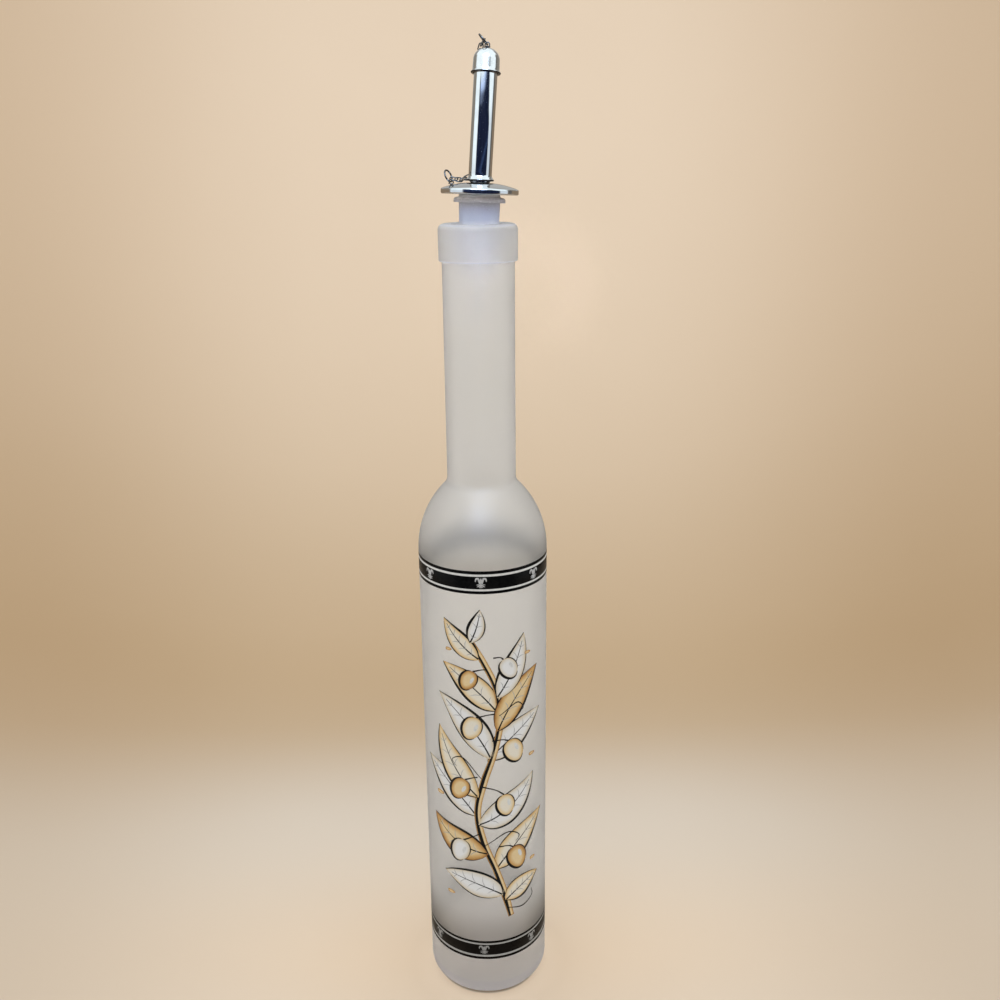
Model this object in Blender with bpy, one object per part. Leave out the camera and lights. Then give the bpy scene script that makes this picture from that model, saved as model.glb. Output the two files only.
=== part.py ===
"""Frosted glass bottle with a capped steel pourer on a finned stopper.

Metres, +Z up. The origin is the centre of the bottle's base, on the plane it
stands on. The front of the bottle faces -Y.
"""

import math

import bmesh
import bpy
from mathutils import Matrix, Vector

# ---------------------------------------------------------------- dimensions
MM = 0.001

# Bottle, millimetres
BODY_R = 25.5
SHOULDER_Z = 200.5
SHOULDER_ARC_R = 36.9
SHOULDER_FILLET = 5.0
HEEL_R = 6.2
BASE_RING_R = 17.5
PUSH_UP = 2.2
NECK_R = 13.35
COLLAR_Z = 311.7
COLLAR_R = 14.5
MOUTH_Z = 324.8
BORE_R = 9.25
BORE_FILLET = 8.0
WALL = 2.3
FLOOR_Z = 7.5
BOTTLE_SEGMENTS = 40

# Pourer: it sits a little crooked in the neck
PIVOT_Z = 312.0
PLUG_LEAN_RIGHT = 2.2
PLUG_LEAN_BACK = 1.8
FLANGE_Z = 334.75
GAP = 0.3

PLUG_R = 7.45
PLUG_MOUTH_R = 7.2
PLUG_END_R = 6.6
PLUG_LENGTH = 27.5
PLUG_BORE_R = 3.75
FIN_FREE_R = 9.35
FIN_SEATED_R = BORE_R - GAP
SEATED_FINS = 4
FIN_PITCH = 3.4
PLUG_SEGMENTS = 24

FLANGE_R = 14.0
FLANGE_EDGE = 2.1
FLANGE_CROWN = 3.95
FLANGE_HOLE_R = 3.65

STEM_R = 3.35
STEM_BORE_R = 2.75
STEM_TOP = 8.2
STEM_BOTTOM = -15.0

SPOUT_R = 4.15
SPOUT_BORE_R = 3.65
SPOUT_START = 4.6
SPOUT_FLARE_R = 5.0
SPOUT_LEAN_RIGHT = 4.2
SPOUT_TIP_LEAN_BACK = 7.4
RIM_ARC = 40.6
CAP_COVER = 4.4

AIR_R = 1.05
AIR_BORE_R = 0.7
AIR_BOTTOM = -44.0
AIR_OFFSET = 2.2

CAP_HEIGHT = 8.55
CAP_R = 4.68
CAP_WALL = 0.4
CAP_BORE_R = 4.44
CAP_RIM_R = 5.28

EYE_WIRE_R = 0.23
EYE_ARCH_R = 0.8
EYE_WASHER_R = 1.15
EYE_SHANK_R = 0.5
EYE_HOLE_R = 0.78
EYE_SINK_R = 1.35
EYE_HEIGHT = 1.02

RING_R = 2.15
RING_WIRE_R = 0.3

LINK_LENGTH = 3.4
LINK_WIDTH = 2.1
LINK_WIRE_R = 0.225
LINKS = 29
CAP_LINKS = 5
END_REACH = 0.7

FLANGE_EYE_X = -10.2
FLANGE_EYE_Y = 1.2

# ---------------------------------------------------------------- scene reset
for old in list(bpy.data.objects):
    bpy.data.objects.remove(old, do_unlink=True)


# ---------------------------------------------------------------- materials
def material(name, colour, roughness, metallic=0.0, transmission=0.0):
    mat = bpy.data.materials.new(name)
    mat.use_nodes = True
    shader = mat.node_tree.nodes["Principled BSDF"]
    shader.inputs["Base Color"].default_value = (*colour, 1.0)
    shader.inputs["Roughness"].default_value = roughness
    shader.inputs["Metallic"].default_value = metallic
    shader.inputs["Transmission Weight"].default_value = transmission
    return mat


FROSTED = material("frosted_glass", (0.82, 0.82, 0.84), 0.55, 0.0, 0.6)
MILKY = material("milky_plastic", (0.84, 0.84, 0.88), 0.4)
POLISHED = material("polished_steel", (0.80, 0.81, 0.83), 0.08, 1.0)
BRUSHED = material("bright_cap_steel", (0.84, 0.84, 0.85), 0.16, 1.0)
WIRE = material("chain_wire", (0.62, 0.61, 0.60), 0.25, 1.0)


# ---------------------------------------------------------------- mesh helpers
def finish(name, bm, mat, frame=None, parent=None, angle=35.0):
    """A new object from bm, whose coordinates are millimetres in frame."""
    bmesh.ops.remove_doubles(bm, verts=bm.verts[:], dist=1e-5)
    bmesh.ops.recalc_face_normals(bm, faces=bm.faces[:])
    bmesh.ops.scale(bm, vec=(MM, MM, MM), verts=bm.verts[:])
    mesh = bpy.data.meshes.new(name)
    bm.to_mesh(mesh)
    bm.free()
    mesh.materials.append(mat)
    mesh.shade_smooth()
    mesh.set_sharp_from_angle(angle=math.radians(angle))
    obj = bpy.data.objects.new(name, mesh)
    bpy.context.scene.collection.objects.link(obj)
    if frame is not None:
        obj.matrix_world = frame
    if parent is not None:
        bpy.context.view_layer.update()
        world = obj.matrix_world.copy()
        obj.parent = parent
        obj.matrix_parent_inverse = parent.matrix_world.inverted()
        obj.matrix_world = world
    return obj


def lathe(bm, profile, segments):
    """Spins a closed outline of (radius, height) points about the Z axis."""
    verts = [bm.verts.new((r, 0.0, z)) for r, z in profile]
    edges = [
        bm.edges.new((verts[i], verts[(i + 1) % len(verts)]))
        for i in range(len(verts))
        if not (profile[i][0] < 1e-6 and profile[(i + 1) % len(verts)][0] < 1e-6)
    ]
    bmesh.ops.spin(
        bm,
        geom=verts + edges,
        cent=(0, 0, 0),
        axis=(0, 0, 1),
        angle=2 * math.pi,
        steps=segments,
        use_merge=True,
        use_duplicate=False,
    )
    bmesh.ops.remove_doubles(bm, verts=bm.verts[:], dist=1e-5)
    return bm


def arc(cx, cz, radius, start, end, steps, squash=1.0):
    """Points of an arc in the (radius, height) plane, degrees."""
    out = []
    for i in range(steps + 1):
        a = math.radians(start + (end - start) * i / steps)
        out.append((cx + radius * math.cos(a), cz + radius * squash * math.sin(a)))
    return out


def sweep(bm, path, normals, radius, sides, closed):
    """A round wire along path; normals holds one vector across the wire per point."""
    rings = []
    n = len(path)
    for i, p in enumerate(path):
        if closed:
            t = (path[(i + 1) % n] - path[i - 1]).normalized()
        else:
            t = (path[min(i + 1, n - 1)] - path[max(i - 1, 0)]).normalized()
        a = (normals[i] - t * normals[i].dot(t)).normalized()
        b = t.cross(a)
        rings.append(
            [
                bm.verts.new(
                    p
                    + a * (radius * math.cos(2 * math.pi * k / sides))
                    + b * (radius * math.sin(2 * math.pi * k / sides))
                )
                for k in range(sides)
            ]
        )
    last = n if closed else n - 1
    for i in range(last):
        r0, r1 = rings[i], rings[(i + 1) % n]
        for k in range(sides):
            bm.faces.new((r0[k], r0[(k + 1) % sides], r1[(k + 1) % sides], r1[k]))
    if not closed:
        bm.faces.new(list(reversed(rings[0])))
        bm.faces.new(rings[-1])
    return bm


def bool_modify(obj, other, operation):
    """Applies an exact Boolean of other to obj and removes other."""
    mod = obj.modifiers.new(operation.lower(), "BOOLEAN")
    mod.operation = operation
    mod.solver = "EXACT"
    mod.object = other
    depsgraph = bpy.context.evaluated_depsgraph_get()
    mesh = bpy.data.meshes.new_from_object(obj.evaluated_get(depsgraph))
    obj.modifiers.clear()
    old = obj.data
    obj.data = mesh
    mesh.name = obj.name
    bpy.data.meshes.remove(old)
    bpy.data.objects.remove(other, do_unlink=True)
    mesh.shade_smooth()
    mesh.set_sharp_from_angle(angle=math.radians(35.0))


def lean(right, back):
    """Rotation that takes +Z to an axis leaning right (+X) and back (+Y), degrees."""
    axis = Vector((math.tan(math.radians(right)), math.tan(math.radians(back)), 1.0))
    return Vector((0, 0, 1)).rotation_difference(axis.normalized()).to_matrix().to_4x4()


def metres(v):
    return Matrix.Translation(Vector(v) * MM)


# ---------------------------------------------------------------- bottle
def shoulder(inset, neck, fillet, steps, fillet_steps):
    """Shoulder curve, bottom to top: one large arc, then a fillet into the neck."""
    big = SHOULDER_ARC_R - inset
    centre_r = BODY_R - SHOULDER_ARC_R
    across = neck + fillet - centre_r
    up = math.sqrt((big + fillet) ** 2 - across**2)
    turn = math.degrees(math.atan2(up, across))
    points = arc(centre_r, SHOULDER_Z, big, 0, turn, steps)
    points += arc(neck + fillet, SHOULDER_Z + up, fillet, 180 + turn, 180, fillet_steps)[1:]
    return points


def bottle_profile():
    outer = [(0.0, PUSH_UP), (9.0, PUSH_UP - 0.35), (14.5, 0.9), (BASE_RING_R, 0.0)]
    outer += arc(BODY_R - HEEL_R, HEEL_R, HEEL_R, -90, 0, 5)
    outer += shoulder(0.0, NECK_R, SHOULDER_FILLET, 8, 4)
    outer += [(NECK_R + 0.12, COLLAR_Z - 0.6), (COLLAR_R - 0.45, COLLAR_Z)]
    outer += [(COLLAR_R - 0.07, COLLAR_Z + 0.4), (COLLAR_R + 0.05, MOUTH_Z - 2.2)]
    outer += arc(COLLAR_R + 0.05 - 2.2, MOUTH_Z - 2.2, 2.2, 15, 90, 3)
    inner = arc(BORE_R + 0.6, MOUTH_Z - 0.6, 0.6, 90, 180, 2)
    inner += reversed(shoulder(WALL, BORE_R, BORE_FILLET, 6, 3))
    inner += arc(BODY_R - WALL - 4.0, FLOOR_Z + 4.0, 4.0, 0, -90, 3)
    inner += [(9.0, FLOOR_Z + 0.7), (0.0, FLOOR_Z + 1.2)]
    return outer + inner


finish("bottle_glass", lathe(bmesh.new(), bottle_profile(), BOTTLE_SEGMENTS), FROSTED)

# ---------------------------------------------------------------- frames
rise = FLANGE_Z - PIVOT_Z
POURER = metres(
    (
        math.tan(math.radians(PLUG_LEAN_RIGHT)) * rise,
        math.tan(math.radians(PLUG_LEAN_BACK)) * rise,
        FLANGE_Z,
    )
) @ lean(PLUG_LEAN_RIGHT, PLUG_LEAN_BACK)


def empty(name, frame):
    obj = bpy.data.objects.new(name, None)
    obj.empty_display_size = 0.01
    bpy.context.scene.collection.objects.link(obj)
    obj.matrix_world = frame
    return obj


pourer_axis = empty("pourer_axis", POURER)


def smooth(t):
    t = max(0.0, min(1.0, t))
    return t * t * (3 - 2 * t)


def spout_leans(s):
    """Lean to the right and to the back, degrees, at arc length s above the flange's underside."""
    right = PLUG_LEAN_RIGHT + (SPOUT_LEAN_RIGHT - PLUG_LEAN_RIGHT) * smooth((s - 3.0) / 7.0)
    bend = smooth((s - 8.0) / (RIM_ARC - 8.0)) * 0.55 + 0.45 * max(
        0.0, min(1.0, (s - 8.0) / (RIM_ARC - 8.0))
    )
    back = PLUG_LEAN_BACK + (SPOUT_TIP_LEAN_BACK - PLUG_LEAN_BACK) * bend
    return right, back


def direction(right, back):
    return Vector(
        (math.tan(math.radians(right)), math.tan(math.radians(back)), 1.0)
    ).normalized()


def spout_point(s):
    """Centre line of the spout in world millimetres, by small steps along its leans."""
    p = POURER.translation / MM
    steps = 48
    for i in range(steps):
        p = p + direction(*spout_leans(s * (i + 0.5) / steps)) * (s / steps)
    return p


# ---------------------------------------------------------------- stopper plug
def plug_body():
    bore = PLUG_BORE_R
    top, end = -GAP, -PLUG_LENGTH
    prof = [(bore, top), (PLUG_R - 0.3, top), (PLUG_R, top - 0.3), (PLUG_R, -0.85)]
    # the free fin goes out from the plug and its rim hangs down
    prof += [(FIN_FREE_R - 0.5, -1.15), (FIN_FREE_R - 0.1, -1.6), (FIN_FREE_R, -2.7)]
    prof += [(FIN_FREE_R - 0.45, -2.85), (PLUG_R, -2.45)]
    prof += [(PLUG_MOUTH_R, -12.0), (PLUG_MOUTH_R - 0.3, -12.6)]
    prof += [(PLUG_END_R, end + 1.0), (PLUG_END_R - 0.8, end)]
    prof += [(bore + 0.8, end), (bore, end + 0.8)]
    return lathe(bmesh.new(), prof, PLUG_SEGMENTS)


def seated_fin(height):
    """A fin whose foot is on the plug and whose rim lies in the neck's bore, bent up by the push in."""
    bm = bmesh.new()
    axis = POURER.to_3x3() @ Vector((0, 0, 1))
    root = POURER.translation / MM + axis * height
    segments = PLUG_SEGMENTS
    rings = []
    spec = (
        (5.4, False, -0.55),
        (5.4, False, 0.55),
        (FIN_SEATED_R, True, 1.45),
        (FIN_SEATED_R, True, 0.85),
    )
    for radius, on_neck, lift in spec:
        ring = []
        for k in range(segments):
            a = 2 * math.pi * k / segments
            if on_neck:
                p = Vector((radius * math.cos(a), radius * math.sin(a), root.z + lift))
            else:
                p = (
                    root
                    + POURER.to_3x3()
                    @ Vector((radius * math.cos(a), radius * math.sin(a), lift))
                )
            ring.append(bm.verts.new(p))
        rings.append(ring)
    for i in range(4):
        r0, r1 = rings[i], rings[(i + 1) % 4]
        for k in range(segments):
            bm.faces.new((r0[k], r0[(k + 1) % segments], r1[(k + 1) % segments], r1[k]))
    return bm


plug = finish("stopper_plug", plug_body(), MILKY, POURER, pourer_axis)
for i in range(SEATED_FINS):
    fin = finish(f"fin_{i}", seated_fin(-13.6 - FIN_PITCH * i), MILKY)
    bool_modify(plug, fin, "UNION")


# ---------------------------------------------------------------- eyes
def eye_rivet(name, frame, below, mat, parent):
    """A wire arch on a small washer whose shank goes down through the sheet to a head at -below."""
    bm = bmesh.new()
    top, head = 0.46, -below
    prof = [(0.0, top), (EYE_WASHER_R - 0.12, top), (EYE_WASHER_R, top - 0.1)]
    prof += [(EYE_WASHER_R, 0.27), (EYE_SHANK_R, 0.27), (EYE_SHANK_R, head + 0.4)]
    prof += [(EYE_WASHER_R - 0.1, head + 0.4), (EYE_WASHER_R - 0.1, head + 0.15)]
    prof += [(EYE_WASHER_R - 0.35, head), (0.0, head)]
    lathe(bm, prof, 12)
    obj = finish(name, bm, mat, frame)
    arch = bmesh.new()
    centre = EYE_HEIGHT
    path = [Vector((EYE_ARCH_R, 0, 0.36)), Vector((EYE_ARCH_R, 0, centre * 0.75))]
    for i in range(9):
        a = math.pi * i / 8
        path.append(
            Vector((EYE_ARCH_R * math.cos(a), 0, centre + EYE_ARCH_R * math.sin(a)))
        )
    path += [Vector((-EYE_ARCH_R, 0, centre * 0.75)), Vector((-EYE_ARCH_R, 0, 0.36))]
    sweep(arch, path, [Vector((0, 1, 0))] * len(path), EYE_WIRE_R, 6, False)
    bow = finish(name + "_bow", arch, mat, frame)
    bool_modify(obj, bow, "UNION")
    bpy.context.view_layer.update()
    world = obj.matrix_world.copy()
    obj.parent = parent
    obj.matrix_parent_inverse = parent.matrix_world.inverted()
    obj.matrix_world = world
    return obj


def turned(axis_dir, across):
    """Rotation whose Z is axis_dir and whose Y is as near across as it can be."""
    z = axis_dir.normalized()
    y = (across - z * across.dot(z)).normalized()
    x = y.cross(z)
    return Matrix((x, y, z)).transposed().to_4x4()


# Lower ring: it leans to the upper left and is seen at a slant
RING_LOW_UP = Vector((-0.44, 0.0, 0.90)).normalized()
RING_LOW_ACROSS = Vector((0.39, 0.90, 0.19)).normalized()
RING_LOW_ACROSS = (
    RING_LOW_ACROSS - RING_LOW_UP * RING_LOW_ACROSS.dot(RING_LOW_UP)
).normalized()
# Upper ring: edge-on from the front
RING_TOP_UP = Vector((-0.64, 0.0, 0.77)).normalized()
RING_TOP_ACROSS = Vector((0.0, 1.0, 0.0))


# ---------------------------------------------------------------- flange
def crown(r):
    """Height of the flange's domed top at radius r."""
    t = (FLANGE_R - 0.6 - r) / (FLANGE_R - 0.6 - 4.0)
    t = max(0.0, min(1.0, t))
    return FLANGE_EDGE + (FLANGE_CROWN - FLANGE_EDGE) * (1 - (1 - t) ** 1.7)


def flange_profile():
    prof = [(FLANGE_HOLE_R, 0.0), (FLANGE_R - 0.6, 0.0)]
    prof += [(FLANGE_R - 0.15, 0.25), (FLANGE_R, 0.7), (FLANGE_R, 1.3)]
    prof += [(FLANGE_R - 0.15, 1.75)]
    prof += [(r, crown(r)) for r in (13.4, 11.6, 9.6, 7.4, 5.2)]
    prof += [(FLANGE_HOLE_R, crown(FLANGE_HOLE_R))]
    return prof


flange = finish(
    "flange_disc", lathe(bmesh.new(), flange_profile(), 36), POLISHED, POURER, pourer_axis
)
eye_r = math.hypot(FLANGE_EYE_X, FLANGE_EYE_Y)
# the eye leans half as far as the domed top slopes at its radius
slope = (crown(eye_r - 0.8) - crown(eye_r + 0.8)) / 1.6
outward = Vector((FLANGE_EYE_X, FLANGE_EYE_Y, 0)).normalized()
EYE_UP = (POURER.to_3x3() @ (Vector((0, 0, 1)) + outward * slope * 0.5)).normalized()
EYE_SEAT = POURER @ (Vector((FLANGE_EYE_X, FLANGE_EYE_Y, crown(eye_r) + 0.1)) * MM)
EYE_LOW = Matrix.Translation(EYE_SEAT) @ turned(EYE_UP, RING_LOW_ACROSS)
cut = bmesh.new()
# the rivet's lower head lies in a counterbore, just inside the flange's underside
head_z = -(crown(eye_r) + 0.1) + 0.15
lathe(
    cut,
    [
        (0.0, -6.0),
        (EYE_SINK_R, -6.0),
        (EYE_SINK_R, head_z + 0.7),
        (EYE_HOLE_R, head_z + 0.7),
        (EYE_HOLE_R, 3.0),
        (0.0, 3.0),
    ],
    12,
)
bool_modify(flange, finish("eye_cut", cut, POLISHED, EYE_LOW), "DIFFERENCE")
eye_rivet("flange_eye", EYE_LOW, -head_z, POLISHED, pourer_axis)

# ---------------------------------------------------------------- stem
stem = bmesh.new()
lathe(
    stem,
    [
        (STEM_BORE_R, STEM_BOTTOM),
        (STEM_R - 0.15, STEM_BOTTOM),
        (STEM_R, STEM_BOTTOM + 0.3),
        (STEM_R, STEM_TOP - 0.3),
        (STEM_R - 0.15, STEM_TOP),
        (STEM_BORE_R, STEM_TOP),
    ],
    20,
)
finish("spout_stem", stem, POLISHED, POURER, pourer_axis)


# ---------------------------------------------------------------- spout tube
def spout_tube():
    bm = bmesh.new()
    segments = 20
    end = RIM_ARC + CAP_COVER
    outer = [
        (SPOUT_START, SPOUT_FLARE_R - 0.3),
        (SPOUT_START + 0.1, SPOUT_FLARE_R - 0.08),
        (SPOUT_START + 0.35, SPOUT_FLARE_R),
        (SPOUT_START + 0.65, SPOUT_FLARE_R - 0.12),
        (SPOUT_START + 1.05, SPOUT_R + 0.32),
        (SPOUT_START + 1.5, SPOUT_R + 0.12),
        (SPOUT_START + 2.1, SPOUT_R),
    ]
    count = 9
    for i in range(1, count + 1):
        outer.append((SPOUT_START + 2.1 + (end - 0.15 - SPOUT_START - 2.1) * i / count, SPOUT_R))
    outer.append((end, SPOUT_R - 0.14))
    inner = [(end, SPOUT_BORE_R)]
    for i in range(count - 1, -1, -1):
        inner.append((SPOUT_START + 2.1 + (end - SPOUT_START - 2.1) * i / count, SPOUT_BORE_R))
    inner.append((SPOUT_START, SPOUT_BORE_R))
    rings = []
    for s, radius in outer + inner:
        centre = spout_point(s)
        turn = lean(*spout_leans(s)).to_3x3()
        rings.append(
            [
                bm.verts.new(
                    centre
                    + turn
                    @ Vector(
                        (
                            radius * math.cos(2 * math.pi * k / segments),
                            radius * math.sin(2 * math.pi * k / segments),
                            0,
                        )
                    )
                )
                for k in range(segments)
            ]
        )
    for i in range(len(rings)):
        r0, r1 = rings[i], rings[(i + 1) % len(rings)]
        for k in range(segments):
            bm.faces.new((r0[k], r0[(k + 1) % segments], r1[(k + 1) % segments], r1[k]))
    return bm


finish("spout_tube", spout_tube(), POLISHED, None, pourer_axis)


# ---------------------------------------------------------------- air tube
def air_tube():
    """Thin vent tube: centred in the stem, then along the rear wall of the spout's bore."""
    bm = bmesh.new()
    sides = 8
    stations = [AIR_BOTTOM, -34.0, -24.0, STEM_BOTTOM, -6.0, 2.0, 8.0]
    stations += [12.0, 15.0, 19.0, 24.0, 29.0, 34.0, RIM_ARC - 2.5]
    spots = []
    axis = POURER.to_3x3() @ Vector((0, 0, 1))
    for s in stations:
        if s <= 8.0:
            base, turn = POURER.translation / MM + axis * s, POURER.to_3x3()
        else:
            base, turn = spout_point(s), lean(*spout_leans(s)).to_3x3()
        shift = 1.25 + (AIR_OFFSET - 1.25) * smooth((s - 10.5) / 8.0)
        spots.append((base + turn @ Vector((0, shift, 0)), turn))
    rings = []
    for radius, order in ((AIR_R, spots), (AIR_BORE_R, list(reversed(spots)))):
        for p, turn in order:
            rings.append(
                [
                    bm.verts.new(
                        p
                        + turn
                        @ Vector(
                            (
                                radius * math.cos(2 * math.pi * (k + 0.5) / sides),
                                radius * math.sin(2 * math.pi * (k + 0.5) / sides),
                                0,
                            )
                        )
                    )
                    for k in range(sides)
                ]
            )
    for i in range(len(rings)):
        r0, r1 = rings[i], rings[(i + 1) % len(rings)]
        for k in range(sides):
            bm.faces.new((r0[k], r0[(k + 1) % sides], r1[(k + 1) % sides], r1[k]))
    return bm


finish("air_tube", air_tube(), POLISHED, None, pourer_axis)

# ---------------------------------------------------------------- cap
CAP = Matrix.Translation(spout_point(RIM_ARC) * MM) @ lean(*spout_leans(RIM_ARC))
cap_axis = empty("cap_axis", CAP)
CAP_BELT = 4.6


def cap_profile():
    roll = 0.34
    prof = [(CAP_BORE_R, 0.08), (CAP_RIM_R - roll, 0.0)]
    prof += arc(CAP_RIM_R - roll, roll, roll, -60, 90, 4)
    prof += [(CAP_R + 0.02, 0.95), (CAP_R, 2.8)]
    dome = arc(0.0, CAP_BELT, CAP_R - 0.02, 0, 79, 7, (CAP_HEIGHT - CAP_BELT) / (CAP_R - 0.02))
    prof += dome
    inner_r, inner_h = CAP_BORE_R - 0.02, CAP_HEIGHT - CAP_BELT - CAP_WALL
    prof += [(EYE_HOLE_R, CAP_HEIGHT - 0.04), (EYE_HOLE_R, CAP_HEIGHT - CAP_WALL - 0.04)]
    inside = arc(0.0, CAP_BELT, inner_r, 78, 0, 6, inner_h / inner_r)
    prof += [p for p in inside if p[0] > EYE_HOLE_R + 0.05]
    return prof


finish("cap_dome", lathe(bmesh.new(), cap_profile(), 24), BRUSHED, CAP, cap_axis)
EYE_TOP = CAP @ metres((0, 0, CAP_HEIGHT)) @ Matrix.Identity(4)
EYE_TOP = Matrix.Translation(EYE_TOP.translation) @ turned(
    CAP.to_3x3() @ Vector((0, 0, 1)), RING_TOP_ACROSS
)
eye_rivet("cap_eye", EYE_TOP, CAP_WALL + 0.7, WIRE, cap_axis)


# ---------------------------------------------------------------- jump rings
def jump_ring(name, hole, up, across, parent):
    """A round ring whose lowest point is in the eye's hole; its origin is there, on its swing axis."""
    bm = bmesh.new()
    side = up.cross(across)
    path, normals = [], []
    for i in range(20):
        a = 2 * math.pi * i / 20
        radial = up * math.cos(a) + across * math.sin(a)
        path.append(up * RING_R + radial * RING_R)
        normals.append(side)
    sweep(bm, path, normals, RING_WIRE_R, 6, True)
    return finish(name, bm, WIRE, Matrix.Translation(hole * MM), parent)


HOLE_TOP = (EYE_TOP @ (Vector((0, 0, EYE_HEIGHT)) * MM)) / MM
HOLE_LOW = (EYE_LOW @ (Vector((0, 0, EYE_HEIGHT)) * MM)) / MM
jump_ring("cap_ring", HOLE_TOP, RING_TOP_UP, RING_TOP_ACROSS, cap_axis)
jump_ring("flange_ring", HOLE_LOW, RING_LOW_UP, RING_LOW_ACROSS, pourer_axis)


def on_ring(hole, up, across, degrees):
    a = math.radians(degrees)
    point = hole + up * RING_R + (up * math.cos(a) + across * math.sin(a)) * RING_R
    tangent = (-up * math.sin(a) + across * math.cos(a)).normalized()
    return point, tangent


CHAIN_START, WIRE_TOP = on_ring(HOLE_TOP, RING_TOP_UP, RING_TOP_ACROSS, 95.0)
CHAIN_END, WIRE_LOW = on_ring(HOLE_LOW, RING_LOW_UP, RING_LOW_ACROSS, 128.0)


# ---------------------------------------------------------------- chain
def around_cap(height, radius, azimuth):
    a = math.radians(azimuth)
    return (
        CAP @ (Vector((radius * math.cos(a), radius * math.sin(a), height)) * MM)
    ) / MM


def on_flange(x, y, lift):
    r = math.hypot(x, y)
    return (POURER @ (Vector((x, y, crown(r) + lift)) * MM)) / MM


def chain_route():
    """The chain's course: over the cap's rear, down behind the spout, round its foot to the lower ring."""
    rim = around_cap(0.3, 6.75, 101.0)
    return [
        CHAIN_START,
        around_cap(9.3, 4.15, 124.0),
        around_cap(6.7, 5.5, 117.0),
        around_cap(3.6, 6.4, 107.0),
        rim,
        rim + Vector((-0.4, 0.1, -6.0)),
        rim + Vector((-1.0, -0.1, -13.0)),
        rim + Vector((-1.6, -0.7, -20.0)),
        rim + Vector((-2.3, -1.7, -26.5)),
        on_flange(-1.7, 7.3, 5.4),
        on_flange(-3.5, 6.4, 2.9),
        on_flange(-5.7, 5.0, 1.75),
        on_flange(-7.6, 3.7, 1.5),
        CHAIN_END,
    ]


def catmull(points, per_span):
    """A smooth curve through points, centripetal, as a dense list."""
    ends = [points[0] * 2 - points[1]] + points + [points[-1] * 2 - points[-2]]
    dense = []
    for i in range(1, len(ends) - 2):
        p0, p1, p2, p3 = ends[i - 1 : i + 3]
        t0 = 0.0
        t1 = t0 + (p1 - p0).length ** 0.5
        t2 = t1 + (p2 - p1).length ** 0.5
        t3 = t2 + (p3 - p2).length ** 0.5
        for k in range(per_span):
            t = t1 + (t2 - t1) * k / per_span
            a1 = p0 * ((t1 - t) / (t1 - t0)) + p1 * ((t - t0) / (t1 - t0))
            a2 = p1 * ((t2 - t) / (t2 - t1)) + p2 * ((t - t1) / (t2 - t1))
            a3 = p2 * ((t3 - t) / (t3 - t2)) + p3 * ((t - t2) / (t3 - t2))
            b1 = a1 * ((t2 - t) / (t2 - t0)) + a2 * ((t - t0) / (t2 - t0))
            b2 = a2 * ((t3 - t) / (t3 - t1)) + a3 * ((t - t1) / (t3 - t1))
            dense.append(b1 * ((t2 - t) / (t2 - t1)) + b2 * ((t - t1) / (t2 - t1)))
    dense.append(points[-1].copy())
    return dense


def link_places():
    """Centre, direction and normal of each link along the route."""
    dense = catmull(chain_route(), 24)
    lengths = [0.0]
    for a, b in zip(dense, dense[1:]):
        lengths.append(lengths[-1] + (b - a).length)
    total = lengths[-1]

    def at(s):
        s = max(0.0, min(total, s))
        i = 1
        while i < len(lengths) - 1 and lengths[i] < s:
            i += 1
        t = (s - lengths[i - 1]) / (lengths[i] - lengths[i - 1])
        return dense[i - 1].lerp(dense[i], t)

    pitch = (total - 2 * END_REACH) / (LINKS - 1)
    centres = [at(END_REACH + pitch * i) for i in range(LINKS)]
    tangents = []
    for i in range(LINKS):
        s = END_REACH + pitch * i
        tangents.append((at(s + 1.1) - at(s - 1.1)).normalized())
    # carry a normal along the chain; each link is a quarter turn from the last
    frames = []
    normal = (WIRE_TOP - tangents[0] * WIRE_TOP.dot(tangents[0])).normalized()
    for i in range(LINKS):
        if i:
            normal = tangents[i - 1].rotation_difference(tangents[i]) @ normal
            normal = (normal - tangents[i] * normal.dot(tangents[i])).normalized()
        frames.append(normal.copy())
    # a slight even twist brings the last link square to the lower ring's wire
    last = LINKS - 1
    goal = (WIRE_LOW - tangents[last] * WIRE_LOW.dot(tangents[last])).normalized()
    quarter = 90.0 * (last % 2)
    reached = Matrix.Rotation(math.radians(quarter), 3, tangents[last]) @ frames[last]
    miss = math.atan2(reached.cross(goal).dot(tangents[last]), reached.dot(goal))
    if miss > math.pi / 2:
        miss -= math.pi
    if miss < -math.pi / 2:
        miss += math.pi
    places = []
    for i in range(LINKS):
        twist = math.radians(90.0 * (i % 2)) + miss * i / last
        places.append(
            (
                centres[i],
                tangents[i],
                Matrix.Rotation(twist, 3, tangents[i]) @ frames[i],
            )
        )
    return places, pitch


def link_mesh(tangent, normal):
    """An oval wire link: two straight sides and two round ends."""
    bm = bmesh.new()
    across = normal.cross(tangent)
    bend = LINK_WIDTH / 2 - LINK_WIRE_R
    half = (LINK_LENGTH - LINK_WIDTH) / 2
    path = []
    for side in (1, -1):
        for i in range(6):
            a = math.pi * i / 5
            path.append(
                tangent * (side * (half + bend * math.sin(a)))
                + across * (side * bend * math.cos(a))
            )
    sweep(bm, path, [normal] * len(path), LINK_WIRE_R, 5, True)
    return bm


# the first links travel with the cap, the others only follow it
PLACES, PITCH = link_places()
for i, (centre, tangent, normal) in enumerate(PLACES):
    finish(
        f"chain_link_{i + 1:02d}",
        link_mesh(tangent, normal),
        WIRE,
        Matrix.Translation(centre * MM),
        cap_axis if i < CAP_LINKS else pourer_axis,
    )
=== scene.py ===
"""Looks of a frosted glass bottle with a capped steel pourer.

Metres, +Z up, the bottle's front faces -Y. Lengths named in capitals are
millimetres unless they say otherwise.
"""

import math

import bmesh
import bpy
import numpy as np
from mathutils import Matrix, Vector
from mathutils.geometry import delaunay_2d_cdt


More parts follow.
